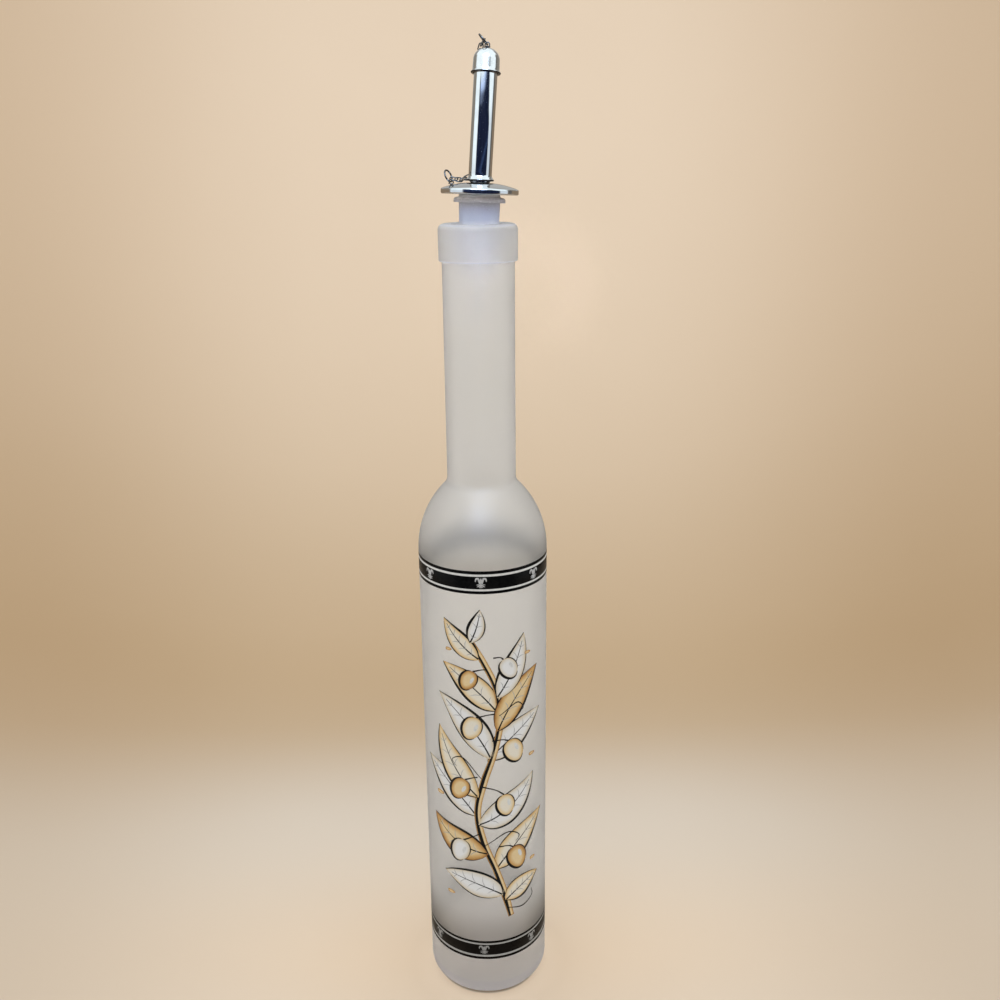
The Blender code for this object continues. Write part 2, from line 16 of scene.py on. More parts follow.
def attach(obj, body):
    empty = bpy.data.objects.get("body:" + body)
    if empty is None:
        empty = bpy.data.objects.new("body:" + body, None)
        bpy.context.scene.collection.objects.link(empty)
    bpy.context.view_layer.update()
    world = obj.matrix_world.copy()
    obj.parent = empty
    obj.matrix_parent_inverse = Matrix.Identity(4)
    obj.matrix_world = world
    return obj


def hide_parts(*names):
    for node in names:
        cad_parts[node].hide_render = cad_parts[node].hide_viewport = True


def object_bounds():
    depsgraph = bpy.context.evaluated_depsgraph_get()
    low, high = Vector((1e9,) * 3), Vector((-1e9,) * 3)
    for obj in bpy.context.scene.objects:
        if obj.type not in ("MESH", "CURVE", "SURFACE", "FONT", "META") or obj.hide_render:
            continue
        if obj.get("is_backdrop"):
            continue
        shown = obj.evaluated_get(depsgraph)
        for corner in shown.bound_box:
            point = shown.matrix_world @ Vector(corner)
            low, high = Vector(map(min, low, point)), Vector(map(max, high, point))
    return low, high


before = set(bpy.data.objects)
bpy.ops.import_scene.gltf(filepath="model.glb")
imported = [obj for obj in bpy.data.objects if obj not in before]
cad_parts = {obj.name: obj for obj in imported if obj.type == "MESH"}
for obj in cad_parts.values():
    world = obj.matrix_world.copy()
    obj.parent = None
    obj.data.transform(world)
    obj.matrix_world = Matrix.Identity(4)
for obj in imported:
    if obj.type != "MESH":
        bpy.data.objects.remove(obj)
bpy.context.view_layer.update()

MM = 0.001
scene = bpy.context.scene

# ---------------------------------------------------------------- dimensions
BODY_R = 25.5
SHOULDER_Z = 200.5
SHOULDER_ARC_R = 36.9
SHOULDER_FILLET = 5.0
HEEL_R = 6.2
BASE_RING_R = 17.5
PUSH_UP = 2.2
NECK_R = 13.35
COLLAR_Z = 311.7
COLLAR_R = 14.5
MOUTH_Z = 324.8
BORE_R = 9.25
BORE_FILLET = 8.0
WALL = 2.3
FLOOR_Z = 7.5

PIVOT_Z = 312.0
PLUG_LEAN_RIGHT = 2.2
PLUG_LEAN_BACK = 1.8
FLANGE_Z = 334.75
GAP = 0.3

PLUG_R = 7.45
PLUG_MOUTH_R = 7.2
PLUG_END_R = 6.6
PLUG_LENGTH = 27.5
PLUG_BORE_R = 3.75
FIN_FREE_R = 9.35
FIN_SEATED_R = BORE_R - GAP
SEATED_FINS = 4
FIN_PITCH = 3.4

FLANGE_R = 14.0
FLANGE_EDGE = 2.1
FLANGE_CROWN = 3.95
FLANGE_HOLE_R = 3.65

STEM_R = 3.35
STEM_BORE_R = 2.75
STEM_TOP = 8.2
STEM_BOTTOM = -15.0

SPOUT_R = 4.15
SPOUT_BORE_R = 3.65
SPOUT_START = 4.6
SPOUT_FLARE_R = 5.0
SPOUT_LEAN_RIGHT = 4.2
SPOUT_TIP_LEAN_BACK = 7.4
RIM_ARC = 40.6
CAP_COVER = 4.4

AIR_R = 1.05
AIR_BORE_R = 0.7
AIR_BOTTOM = -44.0
AIR_OFFSET = 2.2

CAP_HEIGHT = 8.55
CAP_R = 4.68
CAP_WALL = 0.4
CAP_BORE_R = 4.44
CAP_RIM_R = 5.28
CAP_BELT = 4.6

EYE_WIRE_R = 0.23
EYE_ARCH_R = 0.8
EYE_WASHER_R = 1.15
EYE_SHANK_R = 0.5
EYE_HOLE_R = 0.78
EYE_SINK_R = 1.35
EYE_HEIGHT = 1.02

RING_R = 2.15
RING_WIRE_R = 0.3

LINK_LENGTH = 3.4
LINK_WIDTH = 2.1
LINK_WIRE_R = 0.225
LINKS = 29
CAP_LINKS = 5
END_REACH = 0.7

FLANGE_EYE_X = -10.2
FLANGE_EYE_Y = 1.2


# ================================================================ camera
# solved from the bottle's outline: 18.1 degrees down, half a degree of roll
CAMERA_AT = (0.0, -0.38541, 0.34544)
CAMERA_PITCH = math.radians(18.096)
CAMERA_YAW = math.radians(-1.0554)
CAMERA_ROLL = math.radians(-0.554)


def make_camera():
    data = bpy.data.cameras.new("camera")
    data.sensor_fit = "HORIZONTAL"
    data.sensor_width = 36.0
    data.lens = 37.132
    data.clip_start = 0.01
    data.clip_end = 20.0
    data.dof.use_dof = False
    obj = bpy.data.objects.new("camera", data)
    scene.collection.objects.link(obj)
    c, s = math.cos(CAMERA_YAW), math.sin(CAMERA_YAW)
    ct, st = math.cos(CAMERA_PITCH), math.sin(CAMERA_PITCH)
    right = Vector((c, s, 0))
    ahead = Vector((-s * ct, c * ct, -st))
    above = Vector((-s * st, c * st, ct))
    cr, sr = math.cos(CAMERA_ROLL), math.sin(CAMERA_ROLL)
    x = right * cr + above * sr
    y = above * cr - right * sr
    obj.matrix_world = Matrix.Translation(CAMERA_AT) @ Matrix(
        (x, y, -ahead)
    ).transposed().to_4x4()
    scene.camera = obj
    return obj


make_camera()


# ================================================================ node helpers
class Shade:
    """A material built node by node."""

    def __init__(self, name):
        self.mat = bpy.data.materials.new(name)
        self.mat.use_nodes = True
        self.tree = self.mat.node_tree
        self.bsdf = self.tree.nodes["Principled BSDF"]
        self.out = self.tree.nodes["Material Output"]
        self._coords = None

    def new(self, kind, **values):
        node = self.tree.nodes.new(kind)
        for key, value in values.items():
            setattr(node, key, value)
        return node

    def link(self, a, b):
        self.tree.links.new(a, b)

    def set(self, **values):
        for key, value in values.items():
            self.bsdf.inputs[key.replace("_", " ")].default_value = value
        return self

    @property
    def coords(self):
        if self._coords is None:
            self._coords = self.new("ShaderNodeTexCoord").outputs["Object"]
        return self._coords

    def stretched(self, scale):
        node = self.new("ShaderNodeMapping")
        node.inputs["Scale"].default_value = scale
        self.link(self.coords, node.inputs["Vector"])
        return node.outputs["Vector"]

    def noise(self, scale, detail=3.0, rough=0.55, vector=None, distortion=0.0):
        node = self.new("ShaderNodeTexNoise")
        node.inputs["Scale"].default_value = scale
        node.inputs["Detail"].default_value = detail
        node.inputs["Roughness"].default_value = rough
        node.inputs["Distortion"].default_value = distortion
        self.link(vector or self.coords, node.inputs["Vector"])
        return node.outputs["Fac"]

    def ramp(self, fac, stops, mode="LINEAR"):
        node = self.new("ShaderNodeValToRGB")
        node.color_ramp.interpolation = mode
        elements = node.color_ramp.elements
        while len(elements) < len(stops):
            elements.new(0.5)
        for element, (at, colour) in zip(elements, stops):
            element.position = at
            element.color = (*colour, 1.0)
        self.link(fac, node.inputs["Fac"])
        return node.outputs["Color"]

    def span(self, value, low, high, to_low, to_high, smooth=False):
        node = self.new("ShaderNodeMapRange")
        if smooth:
            node.interpolation_type = "SMOOTHSTEP"
        node.inputs["From Min"].default_value = low
        node.inputs["From Max"].default_value = high
        node.inputs["To Min"].default_value = to_low
        node.inputs["To Max"].default_value = to_high
        self.link(value, node.inputs["Value"])
        return node.outputs["Result"]

    def maths(self, operation, a, b=None):
        node = self.new("ShaderNodeMath", operation=operation)
        for i, x in enumerate((a, b)):
            if x is None:
                continue
            if isinstance(x, (int, float)):
                node.inputs[i].default_value = x
            else:
                self.link(x, node.inputs[i])
        return node.outputs[0]

    def mix(self, fac, a, b, blend="MIX"):
        node = self.new("ShaderNodeMix", data_type="RGBA", blend_type=blend)
        for socket, x in ((node.inputs[0], fac), (node.inputs[6], a), (node.inputs[7], b)):
            if isinstance(x, (int, float)):
                socket.default_value = x
            elif isinstance(x, tuple):
                socket.default_value = (*x, 1.0)
            else:
                self.link(x, socket)
        return node.outputs[2]

    def bump(self, *layers):
        """layers of (height socket, strength, distance in metres), coarse to fine."""
        normal = None
        for height, strength, distance in layers:
            node = self.new("ShaderNodeBump")
            node.inputs["Strength"].default_value = strength
            node.inputs["Distance"].default_value = distance
            self.link(height, node.inputs["Height"])
            if normal is not None:
                self.link(normal, node.inputs["Normal"])
            normal = node.outputs["Normal"]
        self.link(normal, self.bsdf.inputs["Normal"])
        return normal

    def to(self, socket, name):
        self.link(socket, self.bsdf.inputs[name])

    def lamps_through(self, tint):
        """Light from lamps passes on to what is behind the glass, a little dimmed."""
        path = self.new("ShaderNodeLightPath")
        clear = self.new("ShaderNodeBsdfTransparent")
        clear.inputs["Color"].default_value = (*tint, 1.0)
        mix = self.new("ShaderNodeMixShader")
        self.link(path.outputs["Is Shadow Ray"], mix.inputs[0])
        self.link(self.bsdf.outputs[0], mix.inputs[1])
        self.link(clear.outputs[0], mix.inputs[2])
        self.link(mix.outputs[0], self.out.inputs["Surface"])


# ================================================================ materials
def frosted_glass():
    s = Shade("frosted_glass")
    s.set(IOR=1.5, Transmission_Weight=0.84)
    clouds = s.noise(55.0, 3.0, 0.5)
    tone = s.ramp(clouds, [(0.3, (0.94, 0.95, 0.975)), (0.7, (0.975, 0.98, 0.99))])
    # painted shade: the glass is painted darker just above each band, where the bands' black keeps light out
    place = s.new("ShaderNodeSeparateXYZ")
    s.link(s.coords, place.inputs[0])
    z = place.outputs[2]
    upper = s.maths(
        "MULTIPLY", s.span(z, 0.1985, 0.2000, 0.0, 1.0), s.span(z, 0.2000, 0.2114, 1.0, 0.0, True)
    )
    lower = s.maths(
        "MULTIPLY", s.span(z, 0.0285, 0.0300, 0.0, 1.0), s.span(z, 0.0300, 0.0500, 1.0, 0.0, True)
    )
    # painted shade that follows the facing angle: seen at a slant, the upper band's painted shade is paler and the
    # lower band's is deeper
    slant = s.new("ShaderNodeLayerWeight")
    slant.inputs["Blend"].default_value = 0.5
    slant = slant.outputs["Facing"]
    upper = s.maths("MULTIPLY", upper, s.span(slant, 0.10, 0.60, 0.62, 0.48))
    lower = s.maths("MULTIPLY", lower, s.span(slant, 0.05, 0.50, 0.48, 0.80))
    tone = s.mix(upper, tone, (0.34, 0.325, 0.30))
    tone = s.mix(lower, tone, (0.30, 0.265, 0.22))
    # painted light: below the lower band the base is painted warmer and paler, for the table's warm light seen
    # through it
    base = s.span(z, 0.0195, 0.0215, 0.30, 0.0, True)
    tone = s.mix(base, tone, (0.98, 0.86, 0.74))
    # the thick floor: a cooler tone below its inner face; painted shadow: a dark line where the heel meets the table
    floor = s.span(s.maths("ADD", z, s.maths("MULTIPLY", clouds, 0.0006)), 0.0078, 0.0096, 0.24, 0.0, True)
    tone = s.mix(floor, tone, (0.72, 0.69, 0.86))
    # painted contact shadow on the heel
    heel = s.span(z, 0.0010, 0.0026, 0.25, 0.0, True)
    s.to(s.mix(heel, tone, (0.16, 0.12, 0.09)), "Base Color")
    grain = s.noise(5200.0, 2.0, 0.6)
    coarse = s.noise(1500.0, 2.0, 0.5)
    blotch = s.noise(180.0, 2.0, 0.5)
    s.to(s.span(blotch, 0.3, 0.7, 0.42, 0.50), "Roughness")
    s.bump((coarse, 0.10, 0.0002), (grain, 0.28, 0.0001))
    s.lamps_through((0.93, 0.93, 0.93))
    return s.mat


def painted_highlight_glass():
    """Painted highlight: whiter, less clear glass on the lip and the collar's lower edge, standing in for light
    caught on those rounded edges.
    """
    s = Shade("painted_highlight_glass")
    s.set(IOR=1.5, Transmission_Weight=0.4)
    clouds = s.noise(300.0, 3.0, 0.5)
    s.to(s.ramp(clouds, [(0.3, (0.80, 0.83, 0.91)), (0.7, (0.86, 0.885, 0.95))]), "Base Color")
    s.to(s.span(clouds, 0.3, 0.7, 0.34, 0.42), "Roughness")
    grain = s.noise(5200.0, 2.0, 0.6)
    s.bump((grain, 0.2, 0.0001))
    s.lamps_through((0.88, 0.88, 0.89))
    return s.mat


def clear_glass():
    """The bottle's smooth inner face."""
    s = Shade("inner_glass")
    s.set(IOR=1.5, Transmission_Weight=1.0)
    wave = s.noise(90.0, 2.0, 0.5)
    s.to(s.ramp(wave, [(0.3, (0.95, 0.96, 0.955)), (0.7, (0.985, 0.985, 0.98))]), "Base Color")
    s.to(s.span(wave, 0.3, 0.7, 0.05, 0.1), "Roughness")
    s.bump((wave, 0.05, 0.001))
    s.lamps_through((0.96, 0.965, 0.96))
    return s.mat


def enamel(name, colour, deep, rough, grain_scale=900.0, level=0.5):
    """Printed and fired ceramic ink."""
    s = Shade(name)
    s.set(IOR=1.5, Specular_IOR_Level=level)
    mottle = s.noise(grain_scale, 4.0, 0.6)
    broad = s.noise(130.0, 2.0, 0.5)
    tone = s.mix(s.span(mottle, 0.35, 0.7, 0.0, 1.0), colour, deep)
    s.to(tone, "Base Color")
    s.to(s.span(broad, 0.3, 0.7, rough - 0.06, rough + 0.08), "Roughness")
    s.bump((mottle, 0.18, 0.00006))
    return s.mat


def washed(name, edge, mid, heart, rough=0.5):
    """Ink laid on like a water-colour wash: darker where it pools at the edge."""
    s = Shade(name)
    s.set(IOR=1.5)
    attribute = s.new("ShaderNodeAttribute", attribute_name="wash")
    soft = s.noise(170.0, 4.0, 0.62, distortion=0.6)
    fine = s.noise(1400.0, 3.0, 0.6)
    wander = s.maths("MULTIPLY_ADD", soft, 0.55)
    wander.node.inputs[2].default_value = -0.275
    level = s.maths("ADD", attribute.outputs["Fac"], wander)
    tone = s.ramp(level, [(0.0, edge), (0.30, mid), (0.72, heart)])
    speck = s.span(fine, 0.3, 0.75, 0.0, 0.10)
    s.to(s.mix(speck, tone, edge), "Base Color")
    s.to(s.span(soft, 0.3, 0.7, rough - 0.08, rough + 0.08), "Roughness")
    s.bump((fine, 0.16, 0.00006))
    return s.mat


def milky_plastic():
    s = Shade("milky_plastic")
    s.set(IOR=1.5, Subsurface_Weight=0.85, Subsurface_Scale=0.004, Transmission_Weight=0.12)
    s.bsdf.inputs["Subsurface Radius"].default_value = (1.0, 0.95, 0.95)
    cloud = s.noise(260.0, 3.0, 0.55)
    fine = s.noise(2600.0, 3.0, 0.6)
    # painted light and shade: clean and bright where the plug sits inside the neck's glass, painted greyer and
    # darker in the flange's shade and a little paler right under it; dust and grime specks near the top
    place = s.new("ShaderNodeSeparateXYZ")
    s.link(s.coords, place.inputs[0])
    z = place.outputs[2]
    wander = s.maths("MULTIPLY_ADD", cloud, 0.0011)
    wander.node.inputs[2].default_value = -0.00055
    tone = s.ramp(
        s.span(s.maths("ADD", z, wander), 0.3235, 0.3350, 0.0, 1.0),
        [
            (0.0, (0.95, 0.965, 1.0)),
            (0.235, (0.56, 0.61, 0.72)),
            (0.374, (0.49, 0.535, 0.645)),
            (0.565, (0.41, 0.43, 0.52)),
            (0.73, (0.35, 0.33, 0.34)),
            (0.85, (0.40, 0.37, 0.36)),
            (0.93, (0.95, 0.87, 0.82)),
        ],
    )
    dust = s.maths("MULTIPLY", s.span(z, 0.3275, 0.3315, 0.0, 1.0), s.span(s.noise(1900.0, 2.0, 0.6), 0.62, 0.70, 0.0, 0.55))
    tone = s.mix(dust, tone, (0.80, 0.80, 0.82))
    grime = s.maths("MULTIPLY", s.span(z, 0.3275, 0.3315, 0.0, 1.0), s.span(s.noise(1500.0, 2.0, 0.6), 0.36, 0.30, 0.0, 0.5))
    s.to(s.mix(grime, tone, (0.24, 0.22, 0.22)), "Base Color")
    s.to(s.span(cloud, 0.3, 0.7, 0.28, 0.42), "Roughness")
    s.bump((cloud, 0.12, 0.0006), (fine, 0.12, 0.00008))
    return s.mat


def steel(name, colour, rough, spread, wave, streak=(1.0, 1.0, 0.06)):
    """Polished or satin metal: faint polishing streaks and a slight waviness."""
    s = Shade(name)
    s.set(Metallic=1.0)
    lines = s.noise(5200.0, 3.0, 0.6, vector=s.stretched(streak))
    smudge = s.noise(240.0, 4.0, 0.6)
    swell = s.noise(95.0, 1.0, 0.4)
    dull = tuple(x * 0.9 for x in colour)
    s.to(s.mix(s.span(smudge, 0.4, 0.75, 0.0, 1.0), colour, dull), "Base Color")
    worn = s.maths("MULTIPLY_ADD", s.span(smudge, 0.35, 0.75, 0.0, 1.0), spread * 0.6)
    s.link(s.span(lines, 0.3, 0.7, rough - spread * 0.3, rough + spread * 0.4), worn.node.inputs[2])
    s.to(worn, "Roughness")
    s.bump((swell, wave, 0.0016), (lines, 0.035, 0.00008))
    return s.mat


FROSTED = frosted_glass()
INNER = clear_glass()
BLACK = enamel("black_enamel", (0.0028, 0.0028, 0.0030), (0.0065, 0.0063, 0.006), 0.28, level=0.09)
WHITE_LINE = enamel("white_enamel", (0.70, 0.69, 0.66), (0.58, 0.57, 0.54), 0.42)
GREY_MOTIF = enamel("silver_grey_enamel", (0.56, 0.555, 0.545), (0.34, 0.335, 0.33), 0.42, 1900.0)
PALE_WASH = washed("pale_wash", (0.62, 0.50, 0.33), (0.70, 0.655, 0.575), (0.76, 0.75, 0.735))
CREAM_WASH = washed("cream_wash", (0.60, 0.36, 0.12), (0.74, 0.58, 0.34), (0.76, 0.70, 0.58))
OCHRE_WASH = washed("ochre_wash", (0.30, 0.12, 0.025), (0.60, 0.34, 0.10), (0.74, 0.56, 0.30))
BRUSH_BLACK = enamel("brush_black", (0.005, 0.0045, 0.004), (0.020, 0.017, 0.014), 0.4, 1500.0, 0.3)
BRUSH_GREY = enamel("brush_grey", (0.34, 0.33, 0.32), (0.48, 0.47, 0.45), 0.45, 1500.0)
MILKY = milky_plastic()
POLISHED = steel("polished_steel", (0.80, 0.81, 0.83), 0.045, 0.07, 0.05)
SATIN = steel("satin_cap_steel", (0.83, 0.83, 0.84), 0.15, 0.08, 0.05)
# painted shade: the chain, rings and eyes get a much darker steel than the spout, so the thin wire reads dark
WIRE = steel("chain_wire", (0.17, 0.166, 0.163), 0.11, 0.12, 0.04)
# painted shade and painted reflection: a near-black steel for the shaded gaps under the cap's rim and at the spout's
# rolled foot, also standing in for the dark room they mirror
PAINTED_SHADE_STEEL = steel("painted_shade_steel", (0.035, 0.030, 0.030), 0.30, 0.12, 0.04)
# painted highlight glass for the lip and the collar's lower edge
PAINTED_HIGHLIGHT_GLASS = painted_highlight_glass()
# shaded copies of the band inks for the lower band: painted shade makes the white and grey darker, and a painted
# haze of light makes the black paler and warmer
BLACK_LOW = enamel("black_enamel_low", (0.0070, 0.0052, 0.0036), (0.012, 0.0092, 0.0066), 0.28, level=0.09)
WHITE_LOW = enamel("white_enamel_low", (0.40, 0.385, 0.355), (0.32, 0.305, 0.28), 0.42)
GREY_LOW = enamel("silver_grey_enamel_low", (0.34, 0.325, 0.30), (0.21, 0.20, 0.185), 0.42, 1900.0)


# ================================================================ mesh helpers
def piece(name, bm, mats, body, nodes=(), angle=35.0, ride_frame=None):
    """A new piece from bm in millimetres, riding on body and standing for the nodes."""
    bmesh.ops.recalc_face_normals(bm, faces=bm.faces[:])
    bm.transform(Matrix.Scale(MM, 4))
    mesh = bpy.data.meshes.new(name)
    bm.to_mesh(mesh)
    bm.free()
    for mat in mats:
        mesh.materials.append(mat)
    mesh.shade_smooth()
    mesh.set_sharp_from_angle(angle=math.radians(angle))
    obj = bpy.data.objects.new(name, mesh)
    scene.collection.objects.link(obj)
    if ride_frame is not None:
        obj.matrix_world = ride_frame
    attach(obj, body)
    if nodes:
        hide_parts(*nodes)
    return obj


def tube_of(bm, rings, closed):
    """Quads between rings of vertices; closed joins the last ring to the first."""
    n = len(rings)
    for i in range(n if closed else n - 1):
        r0, r1 = rings[i], rings[(i + 1) % n]
        for k in range(len(r0)):
            j = (k + 1) % len(r0)
            bm.faces.new((r0[k], r0[j], r1[j], r1[k]))
    return bm


def lathe(profile, segments, turn=None, slots=None, bm=None):
    """A closed outline of (radius, height) about the Z axis, as a new body of revolution."""
    bm = bm or bmesh.new()
    turn = turn or Matrix.Identity(4)
    rings = []
    for r, z in profile:
        if r < 1e-6:
            rings.append([bm.verts.new(turn @ Vector((0, 0, z)))])
            continue
        rings.append(
            [
                bm.verts.new(
                    turn
                    @ Vector(
                        (
                            r * math.cos(2 * math.pi * k / segments),
                            r * math.sin(2 * math.pi * k / segments),
                            z,
                        )
                    )
                )
                for k in range(segments)
            ]
        )
    n = len(rings)
    for i in range(n):
        r0, r1 = rings[i], rings[(i + 1) % n]
        if len(r0) == 1 and len(r1) == 1:
            continue
        for k in range(segments):
            j = (k + 1) % segments
            if len(r0) == 1:
                face = bm.faces.new((r0[0], r1[j], r1[k]))
            elif len(r1) == 1:
                face = bm.faces.new((r0[k], r0[j], r1[0]))
            else:
                face = bm.faces.new((r0[k], r0[j], r1[j], r1[k]))
            if slots:
                face.material_index = slots(i)
    return bm


def arc(cx, cz, radius, start, end, steps, squash=1.0):
    out = []
    for i in range(steps + 1):
        a = math.radians(start + (end - start) * i / steps)
        out.append((cx + radius * math.cos(a), cz + radius * squash * math.sin(a)))
    return out


def sweep(bm, path, normals, radius, sides, closed):
    """A round wire along path; radius is one number or one per point."""
    rings = []
    n = len(path)
    for i, p in enumerate(path):
        if closed:
            t = (path[(i + 1) % n] - path[i - 1]).normalized()
        else:
            t = (path[min(i + 1, n - 1)] - path[max(i - 1, 0)]).normalized()
        a = (normals[i] - t * normals[i].dot(t)).normalized()
        b = t.cross(a)
        r = radius[i] if isinstance(radius, list) else radius
        rings.append(
            [
                bm.verts.new(
                    p
                    + a * (r * math.cos(2 * math.pi * k / sides))
                    + b * (r * math.sin(2 * math.pi * k / sides))
                )
                for k in range(sides)
            ]
        )
    tube_of(bm, rings, closed)
    if not closed:
        bm.faces.new(list(reversed(rings[0])))
        bm.faces.new(rings[-1])
    return bm


def lean(right, back):
    axis = Vector((math.tan(math.radians(right)), math.tan(math.radians(back)), 1.0))
    return Vector((0, 0, 1)).rotation_difference(axis.normalized()).to_matrix().to_4x4()


def smooth(t):
    t = max(0.0, min(1.0, t))
    return t * t * (3 - 2 * t)


# ================================================================ bottle
def shoulder(inset, neck, fillet, steps, fillet_steps):
    big = SHOULDER_ARC_R - inset
    centre_r = BODY_R - SHOULDER_ARC_R
    across = neck + fillet - centre_r
    up = math.sqrt((big + fillet) ** 2 - across**2)
    turn = math.degrees(math.atan2(up, across))
    points = arc(centre_r, SHOULDER_Z, big, 0, turn, steps)
    points += arc(neck + fillet, SHOULDER_Z + up, fillet, 180 + turn, 180, fillet_steps)[1:]
    return points


def straight(a, b, steps):
    return [
        (a[0] + (b[0] - a[0]) * i / steps, a[1] + (b[1] - a[1]) * i / steps)
        for i in range(1, steps + 1)
    ]


def bottle_piece():
    outer = [(0.0, PUSH_UP)]
    for i in range(1, 13):
        r = BASE_RING_R * i / 12
        outer.append((r, PUSH_UP * (1 - smooth(r / BASE_RING_R)) ** 0.9))
    outer[-1] = (BASE_RING_R, 0.0)
    outer += straight(outer[-1], (BODY_R - HEEL_R, 0.0), 3)
    outer += arc(BODY_R - HEEL_R, HEEL_R, HEEL_R, -90, 0, 22)[1:]
    outer += straight((BODY_R, HEEL_R), (BODY_R, SHOULDER_Z), 40)[:-1]
    outer += shoulder(0.0, NECK_R, SHOULDER_FILLET, 40, 14)
    outer += straight(outer[-1], (NECK_R, COLLAR_Z - 0.9), 16)
    # the collar's foot: a small hollow, then a short underside and a rounded edge
    outer += arc(NECK_R + 0.35, COLLAR_Z - 0.55, 0.35, 180, 90, 4)
    outer += [(COLLAR_R - 0.55, COLLAR_Z - 0.14)]
    outer += arc(COLLAR_R - 0.55, COLLAR_Z + 0.41, 0.55, -90, 0, 5)[1:]
    outer += straight((COLLAR_R, COLLAR_Z + 0.41), (COLLAR_R + 0.05, MOUTH_Z - 2.2), 6)
    outer += arc(COLLAR_R + 0.05 - 2.2, MOUTH_Z - 2.2, 2.2, 0, 90, 12)[1:]
    inner = arc(BORE_R + 0.6, MOUTH_Z - 0.6, 0.6, 90, 180, 6)
    lip = len(outer) + len(inner) + 1
    bore = list(reversed(shoulder(WALL, BORE_R, BORE_FILLET, 30, 12)))
    inner += straight(inner[-1], bore[0], 14)[:-1]
    inner += bore
    inner += straight(bore[-1], (BODY_R - WALL, FLOOR_Z + 4.0), 24)[:-1]
    inner += arc(BODY_R - WALL - 4.0, FLOOR_Z + 4.0, 4.0, 0, -90, 8)
    for i in range(1, 9):
        r = (BODY_R - WALL - 4.0) * (1 - i / 8)
        inner.append((r, FLOOR_Z + 1.2 * (1 - r / (BODY_R - WALL - 4.0)) ** 1.4))
    # painted highlight: the lip and the collar's lower edge take the whiter edge glass
    edges = set()
    for i, (r, z) in enumerate(outer + inner[:7]):
        if z > MOUTH_Z - 0.75 or (COLLAR_Z - 0.05 < z < COLLAR_Z + 0.35 and r > COLLAR_R - 0.5):
            edges.add(i)
    bm = lathe(outer + inner, 224, slots=lambda i: 2 if i in edges else 0 if i < lip else 1)
    return piece(
        "bottle_frosted", bm, [FROSTED, INNER, PAINTED_HIGHLIGHT_GLASS], "bottle", ["bottle_glass"], 50.0
    )


bottle_piece()


# ================================================================ prints on the body
FILM = 0.022  # thickness of one layer of ink


def wrapped(u, v, lift):
    """Arc length u from the front, to the right, and height v, on the round body."""
    a = u / BODY_R
    r = BODY_R + lift
    return Vector((r * math.sin(a), -r * math.cos(a), v))


def printed_ring(bm, low, high, lift, segments=288):
    """A closed film round the whole body between two heights."""
    prof = [
        (BODY_R + lift, low),
        (BODY_R + lift + FILM * 0.7, low + 0.01),
        (BODY_R + lift + FILM, low + 0.05),
        (BODY_R + lift + FILM, high - 0.05),
        (BODY_R + lift + FILM * 0.7, high - 0.01),
        (BODY_R + lift, high),
    ]
    return lathe(prof, segments, bm=bm)


# five stripes to a band: black, white, broad black, white, black
BANDS = {
    "lower": (20.5, 21.75, 22.75, 27.95, 28.75, 29.9),
    "upper": (190.4, 191.6, 192.4, 197.5, 198.4, 199.7),
}
# the lower band takes the shaded ink copies: painted shade on the white, painted haze of light on the black
for name, heights in BANDS.items():
    black = bmesh.new()
    for i in (0, 2, 4):
        printed_ring(black, heights[i], heights[i + 1], 0.02)
    piece(f"band_{name}_black", black, [BLACK_LOW if name == "lower" else BLACK], "bottle", ())
    white = bmesh.new()
    for i in (1, 3):
        printed_ring(white, heights[i], heights[i + 1], 0.02)
    tint = WHITE_LOW if name == "lower" else WHITE_LINE
    piece(f"band_{name}_white", white, [tint], "bottle", ())


def resample(points, step, closed):
    """Points every step along a line of (u, v) points."""
    pts = [Vector(p) for p in points]
    if closed:
        pts.append(pts[0])
    out = []
    for a, b in zip(pts, pts[1:]):
        n = max(1, math.ceil((b - a).length / step))
        out += [a.lerp(b, i / n) for i in range(n)]
    if not closed:
        out.append(pts[-1])
    return out


def inside(pts, poly):
    """Which of the points lie inside a closed outline; both are arrays of (u, v)."""
    hit = np.zeros(len(pts), bool)
    for a, b in zip(poly, np.roll(poly, 1, axis=0)):
        if a[1] == b[1]:
            continue
        crosses = (a[1] > pts[:, 1]) != (b[1] > pts[:, 1])
        at = (b[0] - a[0]) * (pts[:, 1] - a[1]) / (b[1] - a[1]) + a[0]
        hit ^= crosses & (pts[:, 0] < at)
    return hit


def edge_distance(pts, poly):
    """How far each point is from a closed outline."""
    best = np.full(len(pts), 1e9)
    for a, b in zip(poly, np.roll(poly, 1, axis=0)):
        d = b - a
        t = np.clip(((pts - a) @ d) / max(float(d @ d), 1e-12), 0.0, 1.0)
        best = np.minimum(best, np.hypot(*(pts - a - t[:, None] * d).T))
    return best


